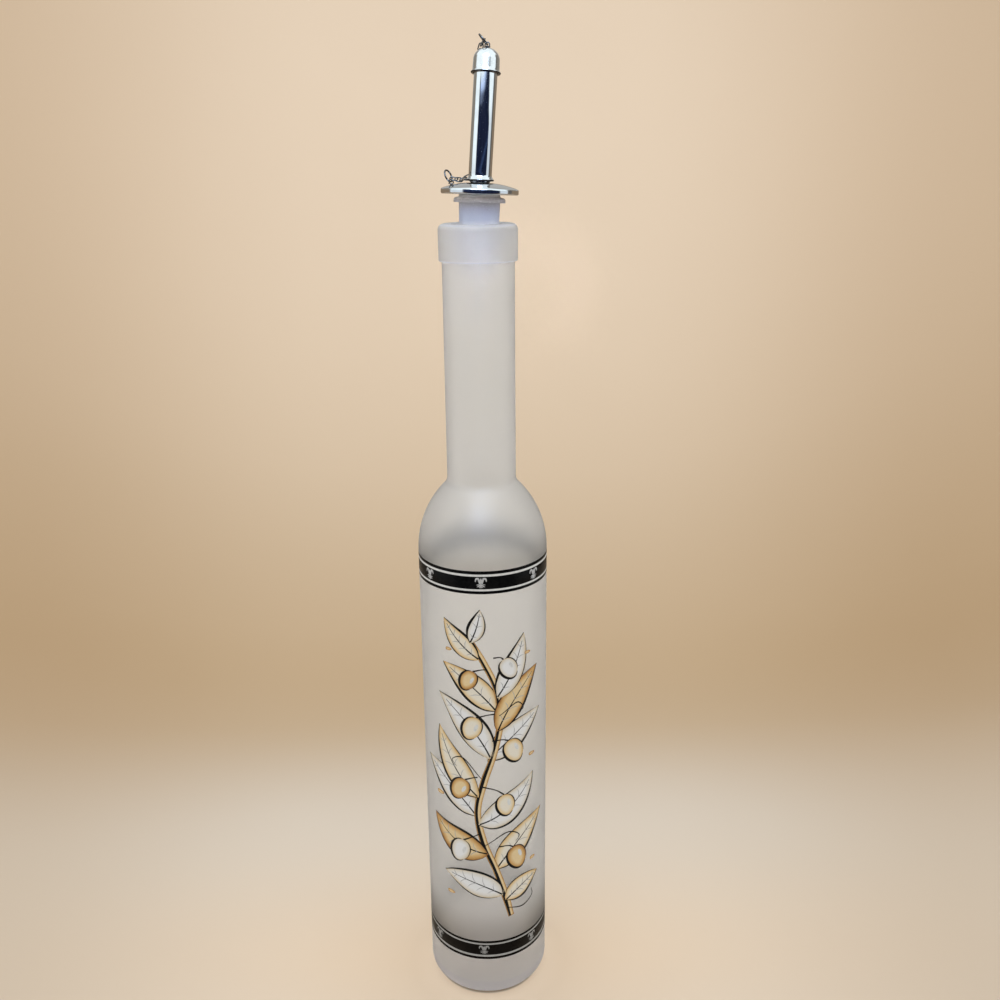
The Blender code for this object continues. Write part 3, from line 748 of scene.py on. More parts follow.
def film(bm, outline, lift, step=0.55, grid=0.9, pool=None, thick=FILM):
    """A closed thin film cut to a flat outline of (arc length, height) and laid on the body.

    pool is how far in from the edge a wash pales, and is kept in the wash layer."""
    poly = resample(outline, step, True)
    edge = np.array([tuple(p) for p in poly])
    low, high = edge.min(0), edge.max(0)
    rows = int((high[1] - low[1]) / (grid * 0.87)) + 1
    cols = int((high[0] - low[0]) / grid) + 2
    i, j = np.meshgrid(np.arange(rows + 1), np.arange(-1, cols + 1), indexing="ij")
    dots = np.stack([low[0] + (j + 0.5 * (i % 2)) * grid, low[1] + i * grid * 0.87], -1).reshape(-1, 2)
    dots = dots[inside(dots, edge)]
    if len(dots):
        dots = dots[edge_distance(dots, edge) > grid * 0.45]
    n = len(poly)
    verts, _, faces, _, _, _ = delaunay_2d_cdt(
        poly + [Vector(p) for p in dots.tolist()], [], [list(range(n))], 1, 1e-6
    )
    wash = np.full(len(verts), 0.5)
    if pool:
        wash = np.minimum(1.0, edge_distance(np.array([tuple(p) for p in verts]), edge) / pool)
    layer = bm.verts.layers.float.get("wash") or bm.verts.layers.float.new("wash")
    top, low_ring = [], []
    for p, value in zip(verts, wash.tolist()):
        a = bm.verts.new(wrapped(p.x, p.y, lift + thick))
        b = bm.verts.new(wrapped(p.x, p.y, lift))
        a[layer] = b[layer] = value
        top.append(a)
        low_ring.append(b)
    count = {}
    for f in faces:
        for k in range(len(f)):
            e = (f[k], f[(k + 1) % len(f)])
            key = (min(e), max(e))
            count[key] = None if key in count else e
    for f in faces:
        bm.faces.new([top[k] for k in f])
        bm.faces.new([low_ring[k] for k in reversed(f)])
    for e in count.values():
        if e is not None:
            bm.faces.new((top[e[1]], top[e[0]], low_ring[e[0]], low_ring[e[1]]))
    return bm


def curve_points(knots, per_span=10):
    """A smooth open line through flat knots, centripetal."""
    pts = [Vector(k[:2]) for k in knots]
    widths = [k[2] for k in knots] if len(knots[0]) > 2 else None
    ends = [pts[0] * 2 - pts[1]] + pts + [pts[-1] * 2 - pts[-2]]
    out, wide = [], []
    for i in range(1, len(ends) - 2):
        p0, p1, p2, p3 = ends[i - 1 : i + 3]
        t0 = 0.0
        t1 = t0 + max(1e-6, (p1 - p0).length) ** 0.5
        t2 = t1 + max(1e-6, (p2 - p1).length) ** 0.5
        t3 = t2 + max(1e-6, (p3 - p2).length) ** 0.5
        for k in range(per_span):
            t = t1 + (t2 - t1) * k / per_span
            a1 = p0 * ((t1 - t) / (t1 - t0)) + p1 * ((t - t0) / (t1 - t0))
            a2 = p1 * ((t2 - t) / (t2 - t1)) + p2 * ((t - t1) / (t2 - t1))
            a3 = p2 * ((t3 - t) / (t3 - t2)) + p3 * ((t - t2) / (t3 - t2))
            b1 = a1 * ((t2 - t) / (t2 - t0)) + a2 * ((t - t0) / (t2 - t0))
            b2 = a2 * ((t3 - t) / (t3 - t1)) + a3 * ((t - t1) / (t3 - t1))
            out.append(b1 * ((t2 - t) / (t2 - t1)) + b2 * ((t - t1) / (t2 - t1)))
            if widths:
                f = k / per_span
                wide.append(widths[i - 1] + (widths[i] - widths[i - 1]) * smooth(f))
    out.append(pts[-1].copy())
    if widths:
        wide.append(widths[-1])
    return (out, wide) if widths else out


def stroke(knots, per_span=8):
    """Outline of a brush stroke whose knots are (u, v, width)."""
    line, wide = curve_points(knots, per_span)
    left, right = [], []
    for i, p in enumerate(line):
        d = line[min(i + 1, len(line) - 1)] - line[max(i - 1, 0)]
        d = d.normalized() if d.length > 1e-9 else Vector((1, 0))
        side = Vector((-d.y, d.x)) * (max(wide[i], 0.08) / 2)
        left.append(p + side)
        right.append(p - side)
    return left + list(reversed(right))


# ---- small ornaments in the bands, seven round the body
def petal(x, y, angle, length, width, swell=0.8):
    pts = []
    for i in range(11):
        t = i / 10
        pts.append((t * length, width * math.sin(math.pi * t**swell) * 0.5))
    pts += [(t, -w) for t, w in reversed(pts[1:-1])]
    c, s = math.cos(math.radians(angle)), math.sin(math.radians(angle))
    return [(x + px * c - py * s, y + px * s + py * c) for px, py in pts]


def ornament(bm, u0, v0, lift, size=1.0):
    """A small spray: a bud between two drooping side petals, on splayed feet."""

    def put(outline):
        film(
            bm,
            [(u0 + x * size, v0 + y * size) for x, y in outline],
            lift,
            step=0.3,
            grid=0.6,
            thick=0.018,
        )

    put(petal(0.0, -0.55, 90, 2.45, 0.78, 1.1))
    for side in (-1, 1):
        put(stroke([(side * 0.42, -0.35, 0.5), (side * 0.62, 0.75, 0.72), (side * 1.05, 1.62, 0.74),
                    (side * 1.62, 1.55, 0.66), (side * 1.95, 0.75, 0.4), (side * 1.9, 0.35, 0.16)], 5))
        put(petal(side * 0.45, -0.62, 90 - side * 98, 1.25, 0.34))
        put(petal(side * 0.42, -0.95, 90 - side * 122, 1.3, 0.36))
        put(petal(side * 0.3, -1.2, 90 - side * 150, 0.95, 0.34))
    put([(0.62 * math.cos(a * math.pi / 8), 0.42 * math.sin(a * math.pi / 8) - 0.85) for a in range(16)])
    put(petal(0.0, -1.15, -90, 1.0, 0.56))


# the lower band's ornaments take the painted-shade grey copy
for name, (low, high), start in (
    ("upper", BANDS["upper"][2:4], -2.0),
    ("lower", BANDS["lower"][2:4], -4.5),
):
    motif = bmesh.new()
    for k in range(7):
        degrees = start + 360.0 / 7 * k
        degrees = (degrees + 180.0) % 360.0 - 180.0
        ornament(motif, math.radians(degrees) * BODY_R, (low + high) / 2 + 0.05, 0.02 + FILM, 1.06)
    tint = GREY_LOW if name == "lower" else GREY_MOTIF
    piece(f"band_{name}_ornaments", motif, [tint], "bottle", ())


# ---- the printed design: an olive branch in brush line and pale washes
INKS = {}
CELL = 0.5
relief = {}  # how high the ink already stands in each cell of the unrolled surface


def lay(ink, outline, pool=None, step=0.5, grid=0.85, thick=FILM):
    """Lays a film of ink over whatever ink lies there already."""
    edge = np.array([tuple(p) for p in resample(outline, CELL * 0.6, True)])
    low, high = edge.min(0) - CELL, edge.max(0) + CELL
    i, j = np.meshgrid(
        np.arange(int(low[0] // CELL), int(high[0] // CELL) + 2),
        np.arange(int(low[1] // CELL), int(high[1] // CELL) + 2),
        indexing="ij",
    )
    cells = np.stack([i, j], -1).reshape(-1, 2)
    spots = (cells + 0.5) * CELL
    covered = inside(spots, edge) | (edge_distance(spots, edge) < CELL * 0.75)
    keys = [tuple(k) for k in cells[covered].tolist()]
    lift = max([relief.get(k, 0.006) for k in keys], default=0.006) + 0.011
    for k in keys:
        relief[k] = lift
    film(INKS.setdefault(ink, bmesh.new()), outline, lift, step, grid, pool, thick)


def leaf_axis(base, tip, bend):
    """Centre line of a leaf as (point, along, across) at t from 0 to 1."""
    base, tip = Vector(base), Vector(tip)
    mid = (base + tip) / 2
    chord = tip - base
    side = Vector((-chord.y, chord.x)).normalized()
    knee = mid + side * bend

    def at(t):
        p = base * (1 - t) ** 2 + knee * (2 * t * (1 - t)) + tip * t**2
        d = ((knee - base) * (1 - t) + (tip - knee) * t).normalized()
        return p, d, Vector((-d.y, d.x))

    return at


def leaf(base, tip, width, bend, ink, line="black", veins=5, heavy=1):
    at = leaf_axis(base, tip, bend)

    def half(t):
        return width / 2 * (math.sin(math.pi * t**0.82) ** 0.85) * (1 - 0.12 * t)

    left, right = [], []
    for i in range(31):
        t = i / 30
        p, _, side = at(t)
        left.append(p + side * half(t))
        right.append(p - side * half(t))
    lay(ink, left + list(reversed(right[1:-1])), pool=width * 0.30)

    def edge(sign, fat, t0, t1, loose):
        knots = []
        for i in range(9):
            f = i / 8
            t = t0 + (t1 - t0) * f
            p, _, side = at(t)
            p = p + side * sign * (half(t) + loose * math.sin(math.pi * f))
            knots.append((p.x, p.y, fat * (0.28 + 0.9 * math.sin(math.pi * min(1.0, f * 0.9 + 0.05)) ** 1.4)))
        lay(line, stroke(knots, 5))

    edge(heavy, 0.92, 0.0, 1.0, 0.12)
    edge(-heavy, 0.42, 0.06, 0.93, 0.22)
    knots = []
    for i in range(8):
        t = 0.02 + 0.86 * i / 7
        p, _, side = at(t)
        knots.append((p.x, p.y, 0.50 * (1 - t) + 0.14))
    lay(line, stroke(knots, 5))
    for i in range(veins):
        t = 0.16 + 0.62 * i / max(1, veins - 1)
        for sign in (1, -1):
            p, d, side = at(t)
            reach = half(t) * (0.74 if sign == heavy else 0.62)
            q = p + side * sign * reach + d * reach * 0.75
            m = (p + q) / 2 + d * reach * 0.16
            lay("grey", stroke([(p.x, p.y, 0.2), (m.x, m.y, 0.26), (q.x, q.y, 0.09)], 4))


def olive(centre, length, width, angle, ink, stalk=None):
    c, s = math.cos(math.radians(angle)), math.sin(math.radians(angle))
    cx, cy = centre

    def put(x, y):
        return (cx + x * c - y * s, cy + x * s + y * c)

    def rim(a, grow=0.0):
        fat = 1 + 0.05 * math.cos(a) + 0.02 * math.cos(3 * a)
        return put((length / 2 + grow) * math.cos(a) * fat, (width / 2 + grow) * math.sin(a))

    if stalk:
        end = rim(math.pi)
        knee = ((end[0] + stalk[0]) / 2 + 0.9, (end[1] + stalk[1]) / 2 + 0.5)
        lay("black", stroke([(*stalk, 0.6), (*knee, 0.42), (*end, 0.7)], 6))
    lay(ink, [rim(2 * math.pi * i / 40) for i in range(40)], pool=width * 0.36)
    for start, span, fat, grow in ((-2.9, 3.6, 1.0, 0.05), (1.0, 2.0, 0.42, 0.12)):
        knots = []
        for i in range(11):
            f = i / 10
            x, y = rim(start + span * f, grow)
            knots.append((x, y, fat * (0.22 + 0.85 * math.sin(math.pi * f) ** 1.2)))
        lay("black", stroke(knots, 5))
    glint = [
        put(-0.06 * length + 0.16 * length * math.cos(a), 0.2 * width + 0.09 * width * math.sin(a))
        for a in (i * math.pi / 8 for i in range(16))
    ]
    lay("white", glint)


def design():
    # leaves behind the stem
    leaf((3.5, 66), (27.5, 88), 12.5, 4.0, "cream", heavy=-1)
    leaf((-4.0, 92), (-28.5, 114), 12.5, -4.0, "pale", heavy=1)
    leaf((0.5, 118), (26.0, 136), 12.0, 3.5, "pale", heavy=-1)
    leaf((4.5, 140), (-17.5, 160), 11.0, -3.5, "cream", heavy=1)
    # the main stem, drawn with one loaded brush
    stem = [
        (9.5, 41.5, 0.9), (7.0, 52.0, 1.5), (3.0, 66.0, 1.15), (-2.0, 80.0, 1.4),
        (-4.2, 94.0, 1.1), (-1.5, 108.0, 1.35), (3.0, 122.0, 1.0), (5.4, 136.0, 1.2),
        (4.0, 150.0, 0.85), (-1.0, 162.0, 0.9), (-6.5, 172.0, 0.5),
    ]
    lay("ochre", stroke([(u + 0.5, v, w + 1.7) for u, v, w in stem], 8), pool=0.9)
    lay("black", stroke(stem, 8))
    # leaves in front
    leaf((6.5, 53), (-19.5, 62), 12.0, -4.5, "pale", heavy=-1)
    leaf((0.5, 74), (-25.0, 88), 13.5, 5.0, "ochre", heavy=-1)
    leaf((-3.5, 88), (21.5, 108), 13.0, -5.0, "pale", heavy=-1)
    leaf((-3.2, 101), (-20.5, 131), 12.0, 4.5, "cream", heavy=1)
    leaf((2.0, 119), (-20.0, 146), 12.0, -5.5, "pale", heavy=-1)
    leaf((4.8, 131), (24.0, 156), 11.5, 4.5, "ochre", heavy=-1)
    leaf((4.6, 146), (16.5, 172), 10.5, -3.0, "pale", heavy=1)
    leaf((-2.0, 163), (-16.5, 179), 8.5, 2.5, "cream", heavy=-1)
    leaf((-5.5, 170), (-1.5, 184), 6.5, -1.5, "pale", heavy=1, veins=3)
    leaf((7.5, 50), (24.5, 58), 10.0, 3.0, "cream", heavy=-1)
    # fruit
    olive((12.8, 70.5), 11.5, 8.8, -72, "ochre", (5.0, 77.0))
    olive((-11.5, 75.0), 11.0, 8.4, -108, "pale", (-2.5, 84.0))
    olive((-11.0, 104.5), 10.5, 8.0, -118, "ochre", (-3.5, 110.5))
    olive((11.5, 121.5), 11.0, 8.4, -66, "cream", (2.6, 127.0))
    olive((7.8, 97.0), 10.0, 7.8, -84, "cream", (-1.5, 106.0))
    olive((-5.5, 133.0), 10.5, 8.0, -112, "cream", (3.8, 139.0))
    olive((9.5, 158.5), 9.5, 7.2, -62, "pale", (3.4, 163.5))
    olive((-6.5, 154.0), 9.0, 6.8, -116, "ochre", (1.0, 158.5))
    # loose tendrils and a few dabs of the brush
    for knots in (
        [(8.5, 46, 0.35), (16, 44.5, 0.6), (21, 47.5, 0.35), (20.5, 51.0, 0.15)],
        [(-1.0, 78, 0.3), (9, 83.5, 0.55), (14, 80.5, 0.3), (12.2, 77.8, 0.12)],
        [(-2.0, 110, 0.3), (-10, 119, 0.5), (-14.2, 117.0, 0.28), (-12.2, 114.2, 0.12)],
        [(5.5, 138, 0.3), (13.5, 142.5, 0.5), (16.2, 139.2, 0.25), (13.6, 137.8, 0.12)],
    ):
        lay("black", stroke(knots, 8))
    for u, v, w, h in ((-21.5, 99.0, 2.0, 0.9), (20.5, 116.5, 1.7, 0.8), (-17.0, 52.0, 1.9, 0.85),
                       (21.0, 66.0, 1.6, 0.8), (-15.0, 166.0, 1.4, 0.7), (18.0, 163.0, 1.5, 0.7)):
        dab = [
            (u + w * math.cos(a) + 0.25 * w * math.cos(2 * a), v + h * math.sin(a) * (1 + 0.25 * math.cos(a)))
            for a in (i * math.pi / 10 for i in range(20))
        ]
        lay("ochre", dab, pool=0.7)


design()
for ink, mat in (
    ("pale", PALE_WASH),
    ("cream", CREAM_WASH),
    ("ochre", OCHRE_WASH),
    ("grey", BRUSH_GREY),
    ("white", WHITE_LINE),
    ("black", BRUSH_BLACK),
):
    if ink in INKS:
        piece(f"print_{ink}", INKS[ink], [mat], "bottle", ())


# ---------------------------------------------------------------- frames of the pourer
rise = FLANGE_Z - PIVOT_Z
POURER = Matrix.Translation(
    (
        math.tan(math.radians(PLUG_LEAN_RIGHT)) * rise,
        math.tan(math.radians(PLUG_LEAN_BACK)) * rise,
        FLANGE_Z,
    )
) @ lean(PLUG_LEAN_RIGHT, PLUG_LEAN_BACK)
POURER_TURN = POURER.to_3x3()
POURER_AXIS = POURER_TURN @ Vector((0, 0, 1))


def spout_leans(s):
    right = PLUG_LEAN_RIGHT + (SPOUT_LEAN_RIGHT - PLUG_LEAN_RIGHT) * smooth((s - 3.0) / 7.0)
    bend = smooth((s - 8.0) / (RIM_ARC - 8.0)) * 0.55 + 0.45 * max(
        0.0, min(1.0, (s - 8.0) / (RIM_ARC - 8.0))
    )
    back = PLUG_LEAN_BACK + (SPOUT_TIP_LEAN_BACK - PLUG_LEAN_BACK) * bend
    return right, back


def direction(right, back):
    return Vector(
        (math.tan(math.radians(right)), math.tan(math.radians(back)), 1.0)
    ).normalized()


def spout_point(s):
    p = POURER.translation.copy()
    steps = 48
    for i in range(steps):
        p = p + direction(*spout_leans(s * (i + 0.5) / steps)) * (s / steps)
    return p


# ================================================================ stopper
def union(obj, others):
    """One closed skin from pieces that run into each other."""
    for other in others:
        mod = obj.modifiers.new("union", "BOOLEAN")
        mod.operation = "UNION"
        mod.solver = "EXACT"
        mod.object = other
        depsgraph = bpy.context.evaluated_depsgraph_get()
        mesh = bpy.data.meshes.new_from_object(obj.evaluated_get(depsgraph))
        obj.modifiers.clear()
        old = obj.data
        obj.data = mesh
        name = old.name
        bpy.data.meshes.remove(old)
        mesh.name = name
        bpy.data.objects.remove(other, do_unlink=True)
    obj.data.shade_smooth()
    obj.data.set_sharp_from_angle(angle=math.radians(35.0))


def loose(name, bm, mats):
    """A mesh object in millimetres made metres, not yet riding on anything."""
    bmesh.ops.recalc_face_normals(bm, faces=bm.faces[:])
    bm.transform(Matrix.Scale(MM, 4))
    mesh = bpy.data.meshes.new(name)
    bm.to_mesh(mesh)
    bm.free()
    for mat in mats:
        mesh.materials.append(mat)
    obj = bpy.data.objects.new(name, mesh)
    scene.collection.objects.link(obj)
    return obj


def seated_fin(height, segments=72):
    root = POURER.translation + POURER_AXIS * height
    rings = []
    spec = (
        (5.4, False, -0.55),
        (5.4, False, 0.55),
        (8.2, True, 1.12),
        (FIN_SEATED_R - 0.06, True, 1.46),
        (FIN_SEATED_R, True, 1.38),
        (FIN_SEATED_R, True, 0.92),
        (FIN_SEATED_R - 0.1, True, 0.84),
        (8.0, True, 0.5),
    )
    bm = bmesh.new()
    for radius, on_neck, lift in spec:
        ring = []
        for k in range(segments):
            a = 2 * math.pi * k / segments
            if on_neck:
                p = Vector((radius * math.cos(a), radius * math.sin(a), root.z + lift))
            else:
                p = root + POURER_TURN @ Vector(
                    (radius * math.cos(a), radius * math.sin(a), lift)
                )
            ring.append(bm.verts.new(p))
        rings.append(ring)
    return tube_of(bm, rings, True)


def stopper_piece():
    bore, top, end = PLUG_BORE_R, -0.04, -PLUG_LENGTH
    prof = [(bore, top), (PLUG_R - 0.25, top)]
    prof += arc(PLUG_R - 0.25, top - 0.25, 0.25, 75, 5, 4)
    # the free fin: out from the plug, then a thick rim that hangs down
    prof += [(PLUG_R + 0.03, -0.72), (PLUG_R + 0.22, -0.9), (PLUG_R + 0.8, -1.02)]
    prof += [(FIN_FREE_R - 0.6, -1.16), (FIN_FREE_R - 0.28, -1.36), (FIN_FREE_R - 0.1, -1.66)]
    prof += [(FIN_FREE_R - 0.03, -2.1), (FIN_FREE_R, -2.5)]
    prof += arc(FIN_FREE_R - 0.24, -2.6, 0.24, 0, -160, 8)
    prof += [(FIN_FREE_R - 0.62, -2.3), (FIN_FREE_R - 0.95, -2.02), (PLUG_R + 0.3, -1.9)]
    prof += [(PLUG_R + 0.04, -2.0), (PLUG_R - 0.02, -2.3)]
    for z in (-4.0, -6.0, -8.0, -10.0, -12.0):
        prof.append((PLUG_R + (PLUG_MOUTH_R - PLUG_R) * (z + 1.9) / -10.1, z))
    prof += [(PLUG_MOUTH_R - 0.1, -12.25), (PLUG_MOUTH_R - 0.3, -12.6)]
    first = PLUG_MOUTH_R - 0.3
    prof += [
        (first + (PLUG_END_R - first) * i / 8, -12.6 + (end + 1.0 + 12.6) * i / 8)
        for i in range(1, 9)
    ]
    prof += [(PLUG_END_R - 0.3, end + 0.3), (PLUG_END_R - 0.8, end), (bore + 0.8, end)]
    prof += [(bore + 0.2, end + 0.2), (bore, end + 0.8)]
    obj = loose("stopper_milky", lathe(prof, 96, POURER), [MILKY])
    fins = [
        loose(f"fin_{i}", seated_fin(-13.6 - FIN_PITCH * i), [MILKY]) for i in range(SEATED_FINS)
    ]
    union(obj, fins)
    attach(obj, "plug")
    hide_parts("stopper_plug")


stopper_piece()


# ================================================================ flange
def crown(r):
    t = (FLANGE_R - 0.6 - r) / (FLANGE_R - 0.6 - 4.0)
    t = max(0.0, min(1.0, t))
    return FLANGE_EDGE + (FLANGE_CROWN - FLANGE_EDGE) * (1 - (1 - t) ** 1.7)


def turned(axis_dir, across):
    z = axis_dir.normalized()
    y = (across - z * across.dot(z)).normalized()
    x = y.cross(z)
    return Matrix((x, y, z)).transposed().to_4x4()


RING_LOW_UP = Vector((-0.44, 0.0, 0.90)).normalized()
RING_LOW_ACROSS = Vector((0.39, 0.90, 0.19)).normalized()
RING_LOW_ACROSS = (
    RING_LOW_ACROSS - RING_LOW_UP * RING_LOW_ACROSS.dot(RING_LOW_UP)
).normalized()
RING_TOP_UP = Vector((-0.64, 0.0, 0.77)).normalized()
RING_TOP_ACROSS = Vector((0.0, 1.0, 0.0))

eye_r = math.hypot(FLANGE_EYE_X, FLANGE_EYE_Y)
slope = (crown(eye_r - 0.8) - crown(eye_r + 0.8)) / 1.6
outward = Vector((FLANGE_EYE_X, FLANGE_EYE_Y, 0)).normalized()
EYE_UP = (POURER_TURN @ (Vector((0, 0, 1)) + outward * slope * 0.5)).normalized()
EYE_SEAT = POURER @ Vector((FLANGE_EYE_X, FLANGE_EYE_Y, crown(eye_r) + 0.1))
EYE_LOW = Matrix.Translation(EYE_SEAT) @ turned(EYE_UP, RING_LOW_ACROSS)
HEAD_Z = -(crown(eye_r) + 0.1) + 0.15  # the rivet's lower head lies inside the flange


def flange_piece():
    prof = [(FLANGE_HOLE_R, 0.0)]
    prof += straight(prof[-1], (FLANGE_R - 0.6, 0.0), 8)
    prof += arc(FLANGE_R - 0.6, 0.6, 0.6, -90, 0, 7)[1:]
    prof += [(FLANGE_R + 0.0, 1.0), (FLANGE_R, 1.3)]
    prof += arc(FLANGE_R - 0.55, 1.42, 0.55, 0, 62, 6)[1:]
    for i in range(1, 27):
        r = 13.25 + (FLANGE_HOLE_R + 0.1 - 13.25) * i / 26
        prof.append((r, crown(r)))
    prof.append((FLANGE_HOLE_R, crown(FLANGE_HOLE_R) - 0.1))
    obj = loose("flange_polished", lathe(prof, 144, POURER), [POLISHED])
    shaft = [(0.0, -6.0), (EYE_SINK_R, -6.0), (EYE_SINK_R, HEAD_Z + 0.7)]
    shaft += [(EYE_HOLE_R, HEAD_Z + 0.7), (EYE_HOLE_R, 3.0), (0.0, 3.0)]
    cutter = loose("eye_cut", lathe(shaft, 24, EYE_LOW), [POLISHED])
    mod = obj.modifiers.new("cut", "BOOLEAN")
    mod.operation = "DIFFERENCE"
    mod.solver = "EXACT"
    mod.object = cutter
    depsgraph = bpy.context.evaluated_depsgraph_get()
    mesh = bpy.data.meshes.new_from_object(obj.evaluated_get(depsgraph))
    obj.modifiers.clear()
    obj.data = mesh
    mesh.name = "flange_polished"
    bpy.data.objects.remove(cutter, do_unlink=True)
    mesh.shade_smooth()
    mesh.set_sharp_from_angle(angle=math.radians(30.0))
    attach(obj, "spout")
    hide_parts("flange_disc")


flange_piece()


def stem_piece():
    prof = [
        (STEM_BORE_R, STEM_BOTTOM),
        (STEM_R - 0.15, STEM_BOTTOM),
        (STEM_R, STEM_BOTTOM + 0.3),
        (STEM_R, -5.0),
        (STEM_R, 3.0),
        (STEM_R, 3.99),
        (STEM_R + 0.16, 4.14),
        (STEM_R + 0.58, 4.54),
        (STEM_R + 0.5, 4.57),
        (STEM_R, 4.58),
        (STEM_R, STEM_TOP - 0.3),
        (STEM_R - 0.15, STEM_TOP),
        (STEM_BORE_R, STEM_TOP),
        (STEM_BORE_R, 3.0),
        (STEM_BORE_R, -5.0),
    ]
    piece("stem_steel", lathe(prof, 64, POURER), [POLISHED], "spout", ["spout_stem"])


stem_piece()


# ================================================================ spout tube
def bent_rings(bm, outline, segments, offset=0.0, phase=0.0):
    """Rings of (arc length, radius) along the spout's centre line."""
    rings = []
    for s, radius in outline:
        centre = spout_point(s)
        turn = lean(*spout_leans(s)).to_3x3()
        rings.append(
            [
                bm.verts.new(
                    centre
                    + turn
                    @ Vector(
                        (
                            radius * math.cos(2 * math.pi * (k + phase) / segments),
                            radius * math.sin(2 * math.pi * (k + phase) / segments) + offset,
                            0,
                        )
                    )
                )
                for k in range(segments)
            ]
        )
    return rings


def spout_piece():
    end = RIM_ARC + CAP_COVER
    start = SPOUT_START
    roll = 0.36
    outer = [(start, SPOUT_BORE_R), (start, SPOUT_FLARE_R - 0.5)]
    outer += [
        (start + roll - roll * math.cos(a), SPOUT_FLARE_R - roll + roll * math.sin(a))
        for a in (0.25, 0.55, 0.85, 1.2, 1.5708, 1.95, 2.3)
    ]
    # from the rolled foot the tube draws in to its straight run
    shown = outer[-1]
    for i in range(1, 11):
        t = i / 10
        outer.append(
            (shown[0] + (start + 2.16 - shown[0]) * t, SPOUT_R + (shown[1] - SPOUT_R) * (1 - t) ** 2.3)
        )
    count = 44
    first = start + 2.16
    outer += [(first + (end - 0.15 - first) * i / count, SPOUT_R) for i in range(1, count + 1)]
    outer += [(end - 0.04, SPOUT_R - 0.05), (end, SPOUT_R - 0.16), (end, SPOUT_BORE_R + 0.08)]
    inner = [(end - 0.1, SPOUT_BORE_R)]
    inner += [(end + (start - end) * i / 30, SPOUT_BORE_R) for i in range(1, 30)]
    bm = bmesh.new()
    tube_of(bm, bent_rings(bm, outer + inner, 72), True)
    # painted shade: the underside and lower half of the rolled foot take the near-black steel
    bm.faces.ensure_lookup_table()
    for face in bm.faces[: 72 * 7]:
        face.material_index = 1
    piece("spout_polished", bm, [POLISHED, PAINTED_SHADE_STEEL], "spout", ["spout_tube"])


spout_piece()


def air_piece():
    bm = bmesh.new()
    sides = 24
    stations = [AIR_BOTTOM + (8.0 - AIR_BOTTOM) * i / 12 for i in range(13)]
    stations += [8.0 + (RIM_ARC - 10.5) * i / 26 for i in range(1, 27)]
    spots = []
    for s in stations:
        if s <= 8.0:
            base, turn = POURER.translation + POURER_AXIS * s, POURER_TURN
        else:
            base, turn = spout_point(s), lean(*spout_leans(s)).to_3x3()
        shift = 1.25 + (AIR_OFFSET - 1.25) * smooth((s - 10.5) / 8.0)
        spots.append((base + turn @ Vector((0, shift, 0)), turn))
    rings = []
    for radius, order in ((AIR_R, spots), (AIR_BORE_R, list(reversed(spots)))):
        for p, turn in order:
            rings.append(
                [
                    bm.verts.new(
                        p
                        + turn
                        @ Vector(
                            (
                                radius * math.cos(2 * math.pi * (k + 0.5) / sides),
                                radius * math.sin(2 * math.pi * (k + 0.5) / sides),
                                0,
                            )
                        )
                    )
                    for k in range(sides)
                ]
            )
    tube_of(bm, rings, True)
    piece("air_tube_steel", bm, [POLISHED], "spout", ["air_tube"])


air_piece()

# ================================================================ cap
CAP = Matrix.Translation(spout_point(RIM_ARC)) @ lean(*spout_leans(RIM_ARC))


def cap_piece():
    roll = 0.34
    prof = [(CAP_BORE_R, 0.1), (CAP_BORE_R + 0.1, 0.03), (CAP_RIM_R - roll, 0.0)]
    prof += arc(CAP_RIM_R - roll, roll, roll, -80, 82, 12)
    prof += [(CAP_R + 0.3, 0.72), (CAP_R + 0.14, 0.82), (CAP_R + 0.07, 1.05)]
    prof += [(CAP_R + 0.07 - 0.031 * (z - 1.05), z) for z in (1.7, 2.6, 3.6)]
    prof += arc(0.0, CAP_BELT, CAP_R - 0.045, 0, 79.5, 30, (CAP_HEIGHT - CAP_BELT) / (CAP_R - 0.045))
    inner_r, inner_h = CAP_BORE_R - 0.02, CAP_HEIGHT - CAP_BELT - CAP_WALL
    prof += [(EYE_HOLE_R, CAP_HEIGHT - 0.04), (EYE_HOLE_R, CAP_HEIGHT - CAP_WALL - 0.04)]
    prof += [
        p for p in arc(0.0, CAP_BELT, inner_r, 78, 0, 24, inner_h / inner_r) if p[0] > EYE_HOLE_R + 0.05
    ]
    prof += [(CAP_BORE_R, 3.0), (CAP_BORE_R, 1.5)]
    # painted shade: the rim's rolled underside takes the near-black steel
    bm = lathe(prof, 112, CAP, slots=lambda i: 1 if 1 <= i <= 8 else 0)
    piece("cap_satin", bm, [SATIN, PAINTED_SHADE_STEEL], "cap", ["cap_dome"])


cap_piece()
EYE_TOP = Matrix.Translation(CAP @ Vector((0, 0, CAP_HEIGHT))) @ turned(
    CAP.to_3x3() @ Vector((0, 0, 1)), RING_TOP_ACROSS
)


